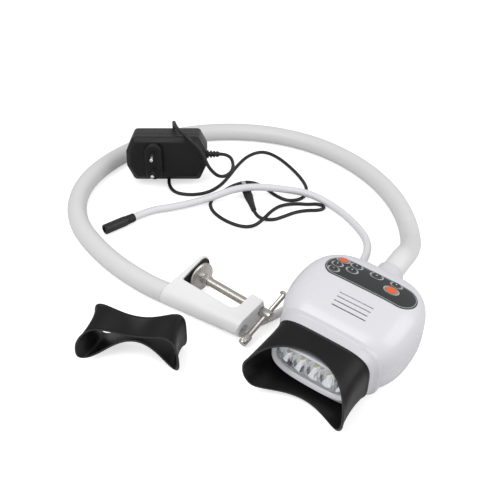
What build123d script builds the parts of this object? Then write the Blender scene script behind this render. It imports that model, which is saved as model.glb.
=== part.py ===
from build123d import *
import math
import os

# A teeth whitening lamp lying on a table: table clamp, gooseneck arm, lamp head with its rubber
# mouth shield, the lead in the arm, the mains adapter with its own lead, and a spare mouth shield.
# Millimetres, X to the right, Y away from the viewer, Z up, table top at Z = 0 until the last step.

# Fits and shared small sizes
overrun = 5.0
running_gap = 0.05
loose_gap = 0.3
seat_gap = 0.25
cord_run_share = 0.45

# Table clamp, drawn in its own plane: x along the spine, y from the spine to the jaw tips
clamp_heading = -42.0
clamp_roll = 12.0
clamp_corner = (-60.7, -74.6, 13.3)
clamp_thickness = 20.0
spine_end_round = 4.7
clamp_small_round = 1.6
throat_length = 65.5
upper_jaw_depth = 38.0
upper_jaw_root = 6.5
upper_jaw_tip = 2.4
upper_jaw_slant = 3.6
lower_jaw_depth = 23.0
lower_jaw_width = 14.5
lower_corner_round = 7.0
spine_width_top = 26.0
spine_width_end = 14.5
jaw_pad_thickness = 1.6
cord_hollow_radius = 5.4
end_hollow = ((62.0, -9.0, -1.5), (86.0, -5.5, -3.5))

# Clamp screw, pressure disc and tommy bar
screw_offset = 17.5
screw_radius = 4.0
screw_tail = 12.0
screw_head_radius = 5.4
screw_head_length = 11.0
disc_radius = 14.2
disc_edge = 1.8
disc_dome = 3.4
disc_gap = 5.0
disc_socket_depth = 3.2
nut_across_flats = 10.0
nut_height = 5.2
bar_radius = 2.3
bar_length = 54.0
bar_shift = -3.2
bar_turn = 8.0
knob_radius = 4.4
knob_length = 10.0
bar_head_radius = 4.6
bar_head_height = 3.0

# Gooseneck arm: radii and clockwise turns in degrees of its plan arcs, from the clamp onwards
arm_radius = 10.0
arm_axis_offset = 16.1
arm_start_heading = 146.5
arm_arc_radii = (285.8, 134.4, 159.7, 172.8, 219.2)
arm_arc_turns = (26.5, 54.7, 59.5, 50.1, 46.1)
arm_rise_points = ((160.0, -6.0, 10.0), (154.5, -40.0, 25.5), (147.0, -66.0, 45.0))
arm_lead_in = 21.0
spigot_radius = 6.5
spigot_length = 14.0
cup_gap = 0.3

# Lamp head: x along its key panel, y to the rear, z up, about the centre of the body
head_centre = (85.2, -155.5, 39.7)
head_x_direction = (0.81915, -0.56421, -0.10324)
head_z_direction = (-0.00525, -0.18736, 0.98228)
head_half_width = 56.5
head_half_length = 54.5
head_half_height = 37.0
head_length_power = 2.4
head_top_power = 4.2
head_bottom_power = 3.0
head_wall = 2.5
head_front = 38.0
head_rear = 52.0
oval_point_count = 16
head_station_shares = (-0.42, -0.12, 0.18, 0.45, 0.66, 0.82)
vent_length = 31.0
vent_width = 1.2
vent_pitch = 4.4
vent_front = 19.6
vent_count = 4
vent_shift = 4.0

# Key panel and its keys
panel_half_length = 41.5
panel_shift = 3.0
panel_front = 6.5
panel_rear = 31.5
panel_thickness = 0.8
key_places = {
    "power_key": (-27.6, 27.2, 4.6, 3.1),
    "mode_key": (-29.0, 19.6, 3.7, 2.7),
    "timer_down_key": (-28.6, 12.4, 3.9, 2.6),
    "timer_up_key": (-14.8, 27.0, 4.1, 2.8),
    "level_key": (-15.2, 19.6, 3.9, 2.8),
    "pause_key": (4.0, 26.8, 4.4, 3.0),
    "light_key": (22.0, 27.4, 3.8, 2.7),
    "start_key": (21.6, 18.8, 5.2, 3.6),
}
key_proud = 1.1
key_travel = 0.5
key_flange = 0.8
key_flange_height = 1.0
key_stem_radius = 1.6
board_top = 21.6
board_thickness = 1.6
board_half_width = 37.0
board_front = 3.0
board_rear = 34.0
switch_side = 6.0
switch_height = 3.4
board_post_radius = 2.6
board_post_places = ((-34.0, 5.5), (34.0, 5.5), (-34.0, 31.5), (34.0, 31.5))
screw_places = ((-38.0, -14.0), (38.0, -14.0), (-43.5, 22.0), (43.5, 22.0))
screw_post_radius = 3.6
shell_screw_radius = 1.4
shell_screw_length = 12.0
shell_screw_head_radius = 2.7
shell_screw_head_height = 1.8
shell_screw_sink = 9.0

# Nose, light window and the lamp inside it
nose_wall = 2.6
nose_front = 61.5
nose_step = 47.0
nose_sizes = ((44.0, 28.4, 0.0), (38.6, 25.8, 1.0), (37.0, 22.4, 3.0))
nose_power = 4.0
ring_front = 68.8
ring_half_width = 36.0
ring_half_height = 18.6
ring_centre = 4.6
ring_power = 2.8
ring_wall = 3.2
ring_flare = 1.2
lens_thickness = 2.0
lens_back = 64.0
reflector_back = 52.5
cup_count = 5
cup_pitch = 12.6
cup_front_radius = 6.1
cup_back_radius = 2.6
led_radius = 2.2
led_height = 4.5
led_board_thickness = 1.6
sink_base = 4.0
sink_length = 22.0
sink_fin = 1.8
sink_fin_count = 8

# Collar between the arm and the head
collar_pivot = 70.0
collar_rim = 66.6
collar_root_radius = 14.0
collar_rim_radius = 12.0

# Mouth shield: rear sleeve round the nose, front rim round the mouth
shield_wall = 2.4
shield_rear = 47.6
shield_mid = 66.0
shield_reach = 88.0
shield_rear_size = (41.8, 28.9, 1.0)
shield_mid_size = (41.6, 26.8, 1.8)
shield_front_size = (52.5, 28.0, -0.8)
shield_power = 4.0
shield_rim_power = 2.5
rim_middle = 68.5
rim_wing = 101.0
rim_wing_at = 60.0
rim_lean = 0.12
spare_waist_shares = (0.45, 0.7, 0.8)
spare_place = (-99.3, -162.6, 22.3)
spare_yaw = -11.0
spare_pitch = 4.0
spare_rim_middle = 66.0

# Lead that leaves the clamp, and the socket on its end
lead_diameter = 7.8
lead_route = (
    (-29.3, -114.5, 11.5), (-18.6, -123.5, 9.5), (-1.9, -119.9, 5.8), (11.2, -109.1, 4.0),
    (23.5, -95.5, 3.9), (40.4, -80.4, 3.9), (62.0, -74.0, 3.9), (88.0, -57.0, 3.9),
    (109.0, -31.0, 3.9), (121.0, 6.0, 3.9),
    (108.0, 45.0, 3.9), (89.0, 76.0, 4.2), (66.0, 96.0, 8.2), (38.0, 105.0, 9.4),
    (10.0, 104.5, 14.0), (-16.0, 101.0, 14.0), (-40.0, 92.0, 8.4), (-63.0, 82.0, 5.8),
    (-85.0, 71.0, 5.4),
)
lead_last_run = 21.0
socket_end = (-149.5, 28.0, 5.4)
socket_direction = (-0.77, -0.638, 0.0)
socket_length = 36.0
socket_radius = 5.3
socket_neck_radius = 4.4
socket_bore_radius = 3.0
socket_bore_depth = 10.0
socket_pin_radius = 1.0

# Mains adapter: x to the right, y away from the pins, z up its face
adapter_place = (-92.0, 118.0, 8.9)
adapter_lean = 8.0
adapter_height = 50.0
adapter_depth = 34.0
adapter_half_width = 44.0
adapter_half_top = 36.0
adapter_corner_round = 5.0
adapter_wall = 2.2
adapter_split = 14.0
adapter_bevel = 5.0
plug_block_width = 19.0
plug_block_height = 41.0
plug_block_depth = 8.0
plug_block_shift = -13.0
pin_pitch = 19.0
pin_radius = 2.3
pin_length = 19.0
pin_low = 11.0
relief_length = 14.0
relief_radius = 4.4
relief_ribs = 4
relief_core_share = 0.6
relief_rib_share = 0.6
relief_taper_share = 0.08
adapter_part_share = 0.8
adapter_board_height = 22.0

# Lead of the adapter and its plug
wire_diameter = 3.8
wire_route = (
    (-17.5, 128.0, 16.0), (-32.0, 116.0, 13.0), (-45.0, 112.5, 28.0),
    (-51.5, 117.5, 45.0), (-64.0, 119.0, 60.0), (-80.0, 139.0, 62.4), (-85.5, 162.0, 61.0),
    (-86.0, 172.0, 46.0), (-87.0, 169.0, 24.0), (-88.5, 166.0, 2.2), (-91.0, 146.0, 1.9),
    (-91.5, 124.0, 1.9), (-84.0, 105.0, 1.9), (-66.0, 99.5, 1.9), (-47.0, 104.0, 1.9),
    (-33.0, 119.0, 1.9), (-23.5, 140.0, 1.9), (-14.5, 164.0, 1.9), (-2.0, 187.0, 1.9),
    (15.0, 197.0, 1.9), (31.0, 185.0, 1.9), (46.0, 161.0, 1.9), (58.0, 135.0, 1.9),
    (64.0, 112.0, 1.9), (58.0, 92.0, 1.9), (41.5, 87.0, 1.9), (27.0, 99.0, 1.9),
    (16.0, 117.0, 1.9), (-1.0, 129.0, 1.9), (-18.0, 121.0, 1.9), (-31.0, 106.0, 1.9),
    (-44.0, 88.0, 1.9), (-41.0, 68.0, 1.9), (-27.0, 50.0, 1.9), (-9.0, 38.0, 1.9),
    (5.0, 36.5, 4.0), (15.0, 48.0, 6.2), (23.5, 63.0, 6.2), (34.0, 78.0, 3.0),
    (50.0, 82.6, 1.9), (62.0, 80.8, 1.9), (72.4, 82.0, 1.9), (79.0, 78.3, 1.9),
    (79.2, 72.2, 1.9), (72.2, 69.2, 1.9), (61.5, 69.4, 1.9), (48.5, 66.0, 1.9), (36.5, 58.0, 1.9),
    (23.0, 50.0, 1.9),
)
wire_first_run = 13.0
wire_last_run = 14.0
plug_rear = (4.2, 65.0, 4.9)
plug_direction = (-0.205, 0.97876, 0.0)
plug_length = 44.0
plug_radius = 4.75
plug_rear_radius = 2.8
plug_grip_length = 17.0
barrel_radius = 2.75
barrel_length = 13.0
barrel_bore_radius = 1.25


def unit(vector):
    return Vector(*vector).normalized()


def plan_direction(degrees):
    return Vector(math.cos(math.radians(degrees)), math.sin(math.radians(degrees)), 0)


def cylinder_between(start, end, radius):
    """A round bar from one point to another."""
    axis = Vector(*end) - Vector(*start)
    return Plane(origin=start, z_dir=axis) * extrude(Circle(radius), axis.length)


def cone_between(start, end, radius_start, radius_end):
    axis = Vector(*end) - Vector(*start)
    half = Location((0, 0, axis.length / 2))
    return Plane(origin=start, z_dir=axis) * half * Cone(radius_start, radius_end, axis.length)


def ball(centre, radius):
    return Pos(*centre) * Sphere(radius)


# Places of the clamp, the head, the adapter and the spare shield
spine = plan_direction(clamp_heading)
plan_normal = plan_direction(clamp_heading + 90)
roll = math.radians(clamp_roll)
clamp_up = Vector(0, 0, 1) * math.cos(roll) - plan_normal * math.sin(roll)
clamp_plane = Plane(origin=clamp_corner, x_dir=spine, z_dir=clamp_up)
head_plane = Plane(origin=head_centre, x_dir=head_x_direction, z_dir=head_z_direction)
adapter_plane = Plane(origin=adapter_place).rotated((-adapter_lean, 0, 0))
spare_plane = Plane(origin=spare_place).rotated((spare_pitch, 0, spare_yaw))


def at(plane, x, y, z):
    return plane.from_local_coords(Vector(x, y, z))


def along(plane, x, y, z):
    return at(plane, x, y, z) - plane.origin


# Clamp
def clamp_profile():
    return make_face(
        Polyline(
            (-upper_jaw_root, -spine_width_top),
            (throat_length + lower_jaw_width, -spine_width_end),
            (throat_length + lower_jaw_width, lower_jaw_depth),
            (throat_length, lower_jaw_depth),
            (throat_length, 0),
            (0, 0),
            (-upper_jaw_slant, upper_jaw_depth),
            (-upper_jaw_slant - upper_jaw_tip, upper_jaw_depth),
            close=True,
        )
    )


def clamp_edges_near(solid, x, y, tolerance):
    picked = []
    for edge in solid.edges().filter_by(Axis.Z):
        middle = edge.center()
        if math.hypot(middle.X - x, middle.Y - y) < tolerance:
            picked.append(edge)
    return picked


def clamp_solid():
    """Frame of the clamp in its own plane, before the leads and threads are cut."""
    half = clamp_thickness / 2
    body = Pos(0, 0, -half) * extrude(clamp_profile(), clamp_thickness)
    end_x = throat_length + lower_jaw_width
    body = fillet(clamp_edges_near(body, throat_length, 0, overrun), lower_corner_round)
    body = fillet(clamp_edges_near(body, end_x, -spine_width_end, overrun), spine_end_round)
    body = fillet(clamp_edges_near(body, throat_length, lower_jaw_depth, overrun), clamp_small_round)
    body = fillet(clamp_edges_near(body, end_x, lower_jaw_depth, overrun), clamp_small_round)
    slope = math.atan2(spine_width_top - spine_width_end, end_x + upper_jaw_root)
    back_frame = Location((-upper_jaw_root, -spine_width_top, 0), (0, 0, math.degrees(slope)))
    back_length = end_x * 2
    back_round = Pos(-overrun, half, 0) * extrude_x(Circle(half), back_length)
    back_rest = Pos(end_x / 2, half + back_length / 2, 0) * Box(
        back_length, back_length, clamp_thickness * 2
    )
    body = body & (back_frame * (back_round + back_rest))
    tip_start = -upper_jaw_root - upper_jaw_slant
    tip_mask = Pos(tip_start, upper_jaw_depth - half, 0) * extrude_x(
        Circle(half), upper_jaw_root - tip_start
    )
    keep = Pos(0, upper_jaw_depth - half - back_length, 0) * Box(
        back_length * 3, back_length * 2, clamp_thickness * 2
    )
    return body & (keep + tip_mask)


def clamp_frame():
    half_socket = Pos(-upper_jaw_root, -arm_axis_offset, 0)
    socket = half_socket * extrude_x(Circle(spigot_radius + running_gap), spigot_length + seat_gap)
    thread = Pos(throat_length - overrun, screw_offset, 0) * extrude_x(
        Circle(screw_radius + running_gap), lower_jaw_width + overrun * 2
    )
    body = clamp_plane * (clamp_solid() - socket - thread)
    path = rounded_path(list(lead_route[:4]))
    hollow = swept(path, cord_hollow_radius) + ball(lead_route[0], cord_hollow_radius)
    mouth = cylinder_between(*[at(clamp_plane, *place) for place in end_hollow], cord_hollow_radius)
    return body - hollow - mouth


def extrude_x(sketch, amount):
    """The sketch turned to face along x, then drawn out from x = 0."""
    return Plane.YZ * extrude(sketch, amount)


def jaw_pad():
    """Rubber sheet on the inner face of the upper jaw, rounded like its tip."""
    half = clamp_thickness / 2
    inset = clamp_small_round
    outline = make_face(
        Polyline(
            (inset, 0),
            (inset, jaw_pad_thickness),
            (inset + upper_jaw_depth, jaw_pad_thickness),
            (inset + upper_jaw_depth, 0),
            close=True,
        )
    )
    slant = math.degrees(math.atan2(upper_jaw_slant, upper_jaw_depth))
    sheet = Pos(0, 0, inset - half) * extrude(outline, clamp_thickness - 2 * inset)
    sheet = Location((0, 0, 0), (0, 0, 90 + slant)) * sheet.mirror(Plane.XZ)
    tip = Pos(-overrun, upper_jaw_depth - half, 0) * extrude_x(Circle(half - inset), overrun * 3)
    rest = Pos(0, upper_jaw_depth - half - overrun * 4, 0) * Box(
        overrun * 10, overrun * 8, clamp_thickness
    )
    return clamp_plane * (sheet & (tip + rest))


disc_face = disc_gap
screw_start = disc_face + disc_edge


def pressure_disc():
    """Domed disc with a socket in its back for the end of the screw."""
    back = disc_edge + disc_dome
    outline = make_face(
        [
            Line((0, 0), (0, disc_radius)),
            Line((0, disc_radius), (disc_edge, disc_radius)),
            RadiusArc((disc_edge, disc_radius), (back, screw_head_radius), -disc_radius * 2),
            Line((back, screw_head_radius), (back, 0)),
            Line((back, 0), (0, 0)),
        ]
    )
    disc = revolve(outline, Axis.X)
    socket = Pos(back - disc_socket_depth, 0, 0) * extrude_x(
        Circle(screw_radius + running_gap), disc_socket_depth + overrun
    )
    return clamp_plane * Pos(disc_face, screw_offset, 0) * (disc - socket)


def disc_nut():
    start = disc_face + disc_edge + disc_dome + loose_gap
    hexagon = RegularPolygon(nut_across_flats / 2, 6, major_radius=False)
    nut = extrude_x(hexagon, nut_height) - extrude_x(Circle(screw_radius), nut_height)
    return clamp_plane * Pos(start, screw_offset, 0) * nut


screw_end = throat_length + lower_jaw_width + screw_tail


def clamp_screw():
    start = disc_face + disc_edge + disc_dome - disc_socket_depth + seat_gap
    shaft = Pos(start, 0, 0) * extrude_x(Circle(screw_radius), screw_end - start)
    head = Pos(screw_end - screw_head_length, 0, 0) * extrude_x(
        Circle(screw_head_radius), screw_head_length
    )
    head = chamfer(head.edges().filter_by(GeomType.CIRCLE), screw_head_radius - screw_radius)
    cross = bar_turned() * bar_rod(bar_radius + running_gap)
    return clamp_plane * Pos(0, screw_offset, 0) * (shaft + head - cross)


bar_station = screw_end - screw_head_length / 2


def bar_rod(radius):
    """Round bar across the screw head, about the point where it crosses the screw's axis."""
    return Pos(0, 0, bar_shift) * extrude(Circle(radius), bar_length / 2, both=True)


def bar_turned():
    return Pos(bar_station, 0, 0) * Rot(bar_turn - 90, 0, 0)


def bar_frame():
    return clamp_plane * Pos(0, screw_offset, 0) * bar_turned()


def tommy_bar():
    head = Pos(0, 0, bar_shift + bar_length / 2) * extrude(Circle(bar_head_radius), bar_head_height)
    head = chamfer(head.edges().filter_by(GeomType.CIRCLE), bar_head_height / 4)
    return bar_frame() * (bar_rod(bar_radius) + head)


def bar_end_knob():
    start = bar_shift - bar_length / 2
    knob = Pos(0, 0, start - knob_length / 2) * extrude(Circle(knob_radius), knob_length)
    knob = chamfer(knob.edges().filter_by(GeomType.CIRCLE), knob_radius / 6)
    hole = Pos(0, 0, start) * extrude(Circle(bar_radius), knob_length)
    return bar_frame() * (knob - hole)


# Gooseneck
arm_start = at(clamp_plane, -upper_jaw_root, -arm_axis_offset, 0)


def arm_stations():
    """Start point and heading of each plan arc, and the arcs themselves as edges."""
    point = Vector(arm_start.X, arm_start.Y, arm_radius)
    heading = arm_start_heading
    places = [(point, heading)]
    edges = []
    for radius, turn in zip(arm_arc_radii, arm_arc_turns):
        centre = point + plan_direction(heading - 90) * radius
        middle = centre - plan_direction(heading - 90 - turn / 2) * radius
        end = centre - plan_direction(heading - 90 - turn) * radius
        edges.append(ThreePointArc(point, middle, end))
        point = end
        heading = heading - turn
        places.append((point, heading))
    return places, edges


arm_places, arm_edges = arm_stations()
arm_end = at(head_plane, 0, collar_pivot, 0)
arm_end_lead = at(head_plane, 0, collar_pivot + arm_lead_in, 0)


def rounded_path(points):
    """Straight runs joined by tangent arcs, each as large as its two runs allow."""
    spots = [Vector(*p) for p in points]
    radii = []
    for before, corner, after in zip(spots, spots[1:], spots[2:]):
        turn = math.radians((corner - before).get_angle(after - corner))
        shorter = min((corner - before).length, (after - corner).length)
        radii.append(cord_run_share * shorter / math.tan(turn / 2))
    return FilletPolyline(*spots, radius=radii)


def swept(path, radius):
    return sweep(Plane(origin=path @ 0, z_dir=path % 0) * Circle(radius), path)


def arm_segment(path, cup=True, knuckle=True):
    tube = swept(path, arm_radius)
    if knuckle:
        tube += ball(path @ 1, arm_radius)
    if cup:
        tube -= ball(path @ 0, arm_radius + cup_gap)
    return tube


def gooseneck():
    end_path = rounded_path([arm_places[5][0], *arm_rise_points, arm_end_lead, arm_end])
    spigot = cylinder_between(arm_start + spine * spigot_length, arm_start, spigot_radius)
    start = arm_edges[0] @ 0
    stub = cylinder_between(start - plan_direction(arm_start_heading) * overrun, start, arm_radius)
    beyond_seam = Pos(overrun * 2 - upper_jaw_root, -arm_axis_offset, 0) * Box(
        overrun * 4, arm_radius * 4, arm_radius * 4
    )
    lower = arm_segment(Wire([arm_edges[0]]), cup=False) + stub - clamp_plane * beyond_seam
    return {
        "gooseneck_lower": lower + spigot,
        "gooseneck_left": arm_segment(Wire([arm_edges[1], arm_edges[2]])),
        "gooseneck_top": arm_segment(Wire([arm_edges[3]])),
        "gooseneck_right": arm_segment(Wire([arm_edges[4]])),
        "gooseneck_end": arm_segment(end_path),
    }


# Lamp head
def head_scale(station):
    share = abs(station) / head_half_length
    return (1 - share**head_length_power) ** (1 / head_length_power)


def oval_points(half_width, half_height, rise, station, top_power, bottom_power, waist_share=0, wall=0):
    """Points of an oval, whose corners get squarer as its power grows, a wall smaller all round."""
    points = []
    for step in range(oval_point_count):
        angle = math.tau * step / oval_point_count
        across = math.cos(angle)
        height = math.sin(angle)
        power = top_power if height > 0 else bottom_power
        x = math.copysign(abs(across) ** (2 / power), across)
        z = math.copysign(abs(height) ** (2 / power), height)
        narrowed = 1 - waist_share * (1 - x * x) ** 2
        points.append((x * (half_width - wall), station, rise + z * (half_height * narrowed - wall)))
    return points


def oval_face(*sizes):
    return make_face(Spline(*oval_points(*sizes), periodic=True))


def head_section(station, offset):
    scale = head_scale(station)
    wide = head_half_width * scale + offset
    tall = head_half_height * scale + offset
    return oval_face(wide, tall, 0, station, head_top_power, head_bottom_power)


def head_body(offset, front, rear):
    stations = [share * head_half_length for share in head_station_shares]
    return loft([head_section(s, offset) for s in [front, *stations, rear]])


def head_top_at(x, y):
    """Height of the body's top over a point of the head's plan."""
    scale = head_scale(y)
    share = abs(x) / (head_half_width * scale)
    return head_half_height * scale * (1 - share**head_top_power) ** (1 / head_top_power)


def key_solid(name, half_long, half_short, low, high):
    x, y = key_places[name][:2]
    return Pos(x, y, low) * extrude(Ellipse(half_long, half_short), high - low)


def key_slot(name):
    long_half, short_half = key_places[name][2:]
    wide = long_half + loose_gap
    return key_solid(name, wide, short_half + loose_gap, board_top, head_half_height + overrun)


def key_room(name):
    """Space under the shell for a key's flange."""
    x, y, long_half, short_half = key_places[name]
    ceiling = head_top_at(x, y) - head_wall
    grow = key_flange + loose_gap
    return key_solid(name, long_half + grow, short_half + grow, board_top, ceiling)


def key(name):
    x, y, long_half, short_half = key_places[name]
    surface = head_top_at(x, y)
    ceiling = surface - head_wall - loose_gap
    cap = key_solid(name, long_half, short_half, ceiling, surface + panel_thickness + key_proud)
    cap = fillet(cap.edges().group_by(Axis.Z)[-1], key_proud / 3)
    flange = key_solid(
        name, long_half + key_flange, short_half + key_flange, ceiling - key_flange_height, ceiling
    )
    foot = board_top + switch_height + key_travel + running_gap
    stem = Pos(x, y, foot) * extrude(Circle(key_stem_radius), ceiling - foot)
    return cap + flange + stem


def half_space(above):
    side = head_half_width * 4
    rise = side / 2 if above else -side / 2
    return Pos(0, 0, rise) * Box(side, side, side)


def posts(places, radius, low, high):
    made = [Pos(x, y, low) * extrude(Circle(radius), high - low) for x, y in places]
    return made[0].fuse(*made[1:])


head_outer = head_body(0, -head_front, head_rear)
head_inner = head_body(-head_wall, -head_front - overrun / 10, head_rear - head_wall)


def head_top_shell():
    shell = (head_outer - head_inner) & half_space(True)
    long_posts = posts(board_post_places, board_post_radius, board_top, head_half_height)
    screw_posts = posts(screw_places, screw_post_radius, 0, head_half_height)
    shell = shell + (long_posts & head_outer) + (screw_posts & head_outer)
    shell = shell - posts(screw_places, shell_screw_radius, 0, shell_screw_length / 2 + seat_gap)
    for index in range(vent_count):
        place = -vent_front + index * vent_pitch
        slot = Box(vent_length, vent_width, head_half_height)
        shell = shell - Pos(vent_shift, place, head_half_height) * slot
    for name in key_places:
        shell = shell - key_slot(name) - key_room(name)
    return shell


def head_bottom_shell():
    shell = (head_outer - head_inner) & half_space(False)
    screw_posts = posts(screw_places, screw_post_radius, -head_half_height, 0) & head_outer
    shell = shell + screw_posts
    shell = shell - posts(screw_places, shell_screw_radius + running_gap, -head_half_height, 0)
    wide = shell_screw_head_radius + loose_gap
    return shell - posts(screw_places, wide, -head_half_height, -shell_screw_sink)


def shell_screws():
    head_low = -shell_screw_sink - shell_screw_head_height
    made = []
    for x, y in screw_places:
        shaft_length = shell_screw_sink + shell_screw_length / 2
        shaft = Pos(x, y, -shell_screw_sink) * extrude(Circle(shell_screw_radius), shaft_length)
        cap = Pos(x, y, head_low) * extrude(Circle(shell_screw_head_radius), shell_screw_head_height)
        made.append(shaft + cap)
    return made


def panel_outline():
    middle = (panel_rear + panel_front) / 2
    height = panel_rear - panel_front
    flat = SlotOverall(panel_half_length * 2, height)
    return Pos(panel_shift, middle, 0) * extrude(flat, head_half_height + overrun)


def key_panel():
    raised = head_body(panel_thickness, -head_front, head_rear)
    panel = (raised & panel_outline()) - head_outer
    for name in key_places:
        panel = panel - key_slot(name)
    return panel


def control_board():
    length = board_rear - board_front
    plate = Pos(0, board_front + length / 2, board_top - board_thickness / 2)
    return plate * Box(board_half_width * 2, length, board_thickness)


def tact_switches():
    made = []
    for x, y, *_ in key_places.values():
        block = Pos(x, y, board_top + switch_height / 2)
        made.append(block * Box(switch_side, switch_side, switch_height))
    return made


# Nose, window and lamp
def nose():
    stations = (head_front, nose_step, nose_front)
    outer = []
    inner = []
    for station, (wide, tall, rise) in zip(stations, nose_sizes):
        outer.append(oval_face(wide, tall, rise, -station, nose_power, nose_power))
        inner_sizes = (wide - nose_wall, tall - nose_wall, rise)
        inner.append(oval_face(*inner_sizes, -station, nose_power, nose_power))
    return loft(outer, ruled=True) - loft(inner, ruled=True)


def window_face(shrink, station):
    wide = ring_half_width - shrink
    tall = ring_half_height - shrink
    return oval_face(wide, tall, ring_centre, -station, ring_power, ring_power)


def window_prism(shrink, back, front):
    return loft([window_face(shrink, back), window_face(shrink, front)], ruled=True)


def light_window_ring():
    outer = loft([window_face(0, nose_front), window_face(-ring_flare, ring_front)], ruled=True)
    seat = window_prism(ring_wall - lens_thickness / 2, nose_front, lens_back + lens_thickness)
    mouth = loft(
        [window_face(ring_wall, nose_front), window_face(ring_wall / 2, ring_front)], ruled=True
    )
    return outer - seat - mouth


def window_lens():
    shrink = ring_wall - lens_thickness / 2 + running_gap
    return window_prism(shrink, lens_back, lens_back + lens_thickness)


def cup_places():
    first = -(cup_count - 1) / 2
    return [(first + index) * cup_pitch for index in range(cup_count)]


def reflector():
    """Block with a row of conical cups, each cup round one lamp chip."""
    block = window_prism(ring_wall + loose_gap, reflector_back, lens_back)
    depth = lens_back - reflector_back
    for x in cup_places():
        tip = Vector(x, -reflector_back + overrun, ring_centre)
        mouth = Vector(x, -lens_back, ring_centre)
        slope = (cup_front_radius - cup_back_radius) / depth
        block = block - cone_between(tip, mouth, cup_back_radius - slope * overrun, cup_front_radius)
    return block


def led_board():
    back = reflector_back - led_board_thickness
    return window_prism(ring_wall + loose_gap, back, reflector_back)


def lamp_chips():
    made = []
    for x in cup_places():
        start = Vector(x, -reflector_back, ring_centre)
        made.append(cylinder_between(start, start - Vector(0, led_height, 0), led_radius))
    return made


def heat_sink():
    """Plate with upright fins behind the lamp board."""
    face_at = reflector_back - led_board_thickness
    wide = ring_half_width - ring_wall * 2
    tall = ring_half_height - ring_wall * 1.5
    plate = Pos(0, -face_at + sink_base / 2, ring_centre) * Box(wide * 2, sink_base, tall * 2)
    pitch = (wide * 2 - sink_fin) / (sink_fin_count - 1)
    for index in range(sink_fin_count):
        x = sink_fin / 2 - wide + index * pitch
        fin = Box(sink_fin, sink_length, tall * 2)
        plate = plate + Pos(x, -face_at + sink_base + sink_length / 2, ring_centre) * fin
    return plate


def head_collar():
    outline = make_face(
        Polyline(
            (0, head_rear),
            (collar_root_radius, head_rear),
            (collar_rim_radius, collar_rim),
            (0, collar_rim),
            close=True,
        )
    )
    cone = revolve(outline, Axis.Y)
    return cone - Pos(0, collar_pivot, 0) * Sphere(arm_radius + cup_gap)


# Mouth shields, drawn in the head's frame
def shield_loft(wall, waist_shares):
    """Sleeve through three ovals, each drawn in at its waist and a wall smaller all round."""
    sizes = (shield_rear_size, shield_mid_size, shield_front_size)
    stations = (shield_rear, shield_mid, shield_reach)
    powers = (shield_power, shield_power, shield_rim_power)
    faces = []
    for size, station, power, waist_share in zip(sizes, stations, powers, waist_shares):
        faces.append(oval_face(*size, -station, power, power, waist_share, wall))
    return loft(faces)


def rim_cutter(middle):
    """Everything in front of a saddle-shaped rim that leans forward at the bottom."""
    far = shield_reach + overrun * 2
    outline = make_face(
        [
            ThreePointArc((-rim_wing_at, -rim_wing), (0, -middle), (rim_wing_at, -rim_wing)),
            Line((rim_wing_at, -rim_wing), (rim_wing_at, -far)),
            Line((rim_wing_at, -far), (-rim_wing_at, -far)),
            Line((-rim_wing_at, -far), (-rim_wing_at, -rim_wing)),
        ]
    )
    lean = Vector(0, rim_lean, 1)
    reach = head_half_width * 2
    return Pos(*(lean * (-reach / 2))) * extrude(outline, reach, dir=lean)


def shield(waist_shares, middle):
    walls = shield_loft(0, waist_shares) - shield_loft(shield_wall, waist_shares)
    return walls - rim_cutter(middle)


# Socket on the clamp's lead
def lead_socket():
    direction = unit(socket_direction)
    front = Vector(*socket_end)
    back = front - direction * socket_length
    neck = back + direction * (socket_length / 3)
    body = cylinder_between(neck, front, socket_radius)
    body += cone_between(back, neck, socket_neck_radius, socket_radius)
    return body - cylinder_between(front - direction * socket_bore_depth, front, socket_bore_radius)


def socket_contact():
    direction = unit(socket_direction)
    front = Vector(*socket_end) - direction * (socket_radius / 4)
    start = Vector(*socket_end) - direction * socket_bore_depth
    return cylinder_between(start, front, socket_pin_radius)


def lead_points():
    direction = unit(socket_direction)
    end = Vector(*socket_end) - direction * socket_length
    return [*lead_route, end - direction * lead_last_run, end]


# Adapter
def adapter_outline(inset):
    """Face outline: long hexagon with blunt ends, x across and y up."""
    wide = adapter_half_width - inset
    top = adapter_half_top - inset
    tall = adapter_height / 2 - inset
    blunt = tall / 3
    middle = adapter_height / 2
    face = make_face(
        Polyline(
            (wide, middle - blunt),
            (wide, middle + blunt),
            (top, middle + tall),
            (-top, middle + tall),
            (-wide, middle + blunt),
            (-wide, middle - blunt),
            (-top, middle - tall),
            (top, middle - tall),
            close=True,
        )
    )
    return fillet(face.vertices(), adapter_corner_round - inset / 2)


def adapter_slab(inset, front, back):
    """The outline drawn back from the pin face, between two depths."""
    upright = Plane(origin=(0, front, 0), x_dir=(1, 0, 0), z_dir=(0, -1, 0))
    return upright * extrude(adapter_outline(inset), front - back)


def adapter_front_shell():
    shell = adapter_slab(0, 0, adapter_split)
    front_edges = shell.edges().group_by(Axis.Y)[0]
    shell = chamfer(front_edges, adapter_bevel)
    return shell - adapter_slab(adapter_wall + adapter_bevel / 2, adapter_wall, adapter_split + overrun)


def adapter_back_shell():
    shell = adapter_slab(0, adapter_split, adapter_depth)
    back_edges = shell.edges().group_by(Axis.Y)[-1]
    shell = fillet(back_edges, adapter_wall)
    inner = adapter_slab(adapter_wall, adapter_split - overrun, adapter_depth - adapter_wall)
    return shell - inner


def plug_block():
    """Raised block that carries the two mains pins."""
    face = SlotOverall(plug_block_height, plug_block_width, rotation=90)
    front = Plane(origin=(plug_block_shift, 0, adapter_height / 2), x_dir=(1, 0, 0), z_dir=(0, -1, 0))
    block = front * extrude(face, plug_block_depth)
    return chamfer(block.edges().group_by(Axis.Y)[0], plug_block_depth / 6)


def mains_pins():
    made = []
    for index in range(2):
        height = pin_low + plug_block_width / 4 + index * pin_pitch
        start = Vector(plug_block_shift, -plug_block_depth, height)
        made.append(cylinder_between(start, start - Vector(0, pin_length, 0), pin_radius))
    return made


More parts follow.
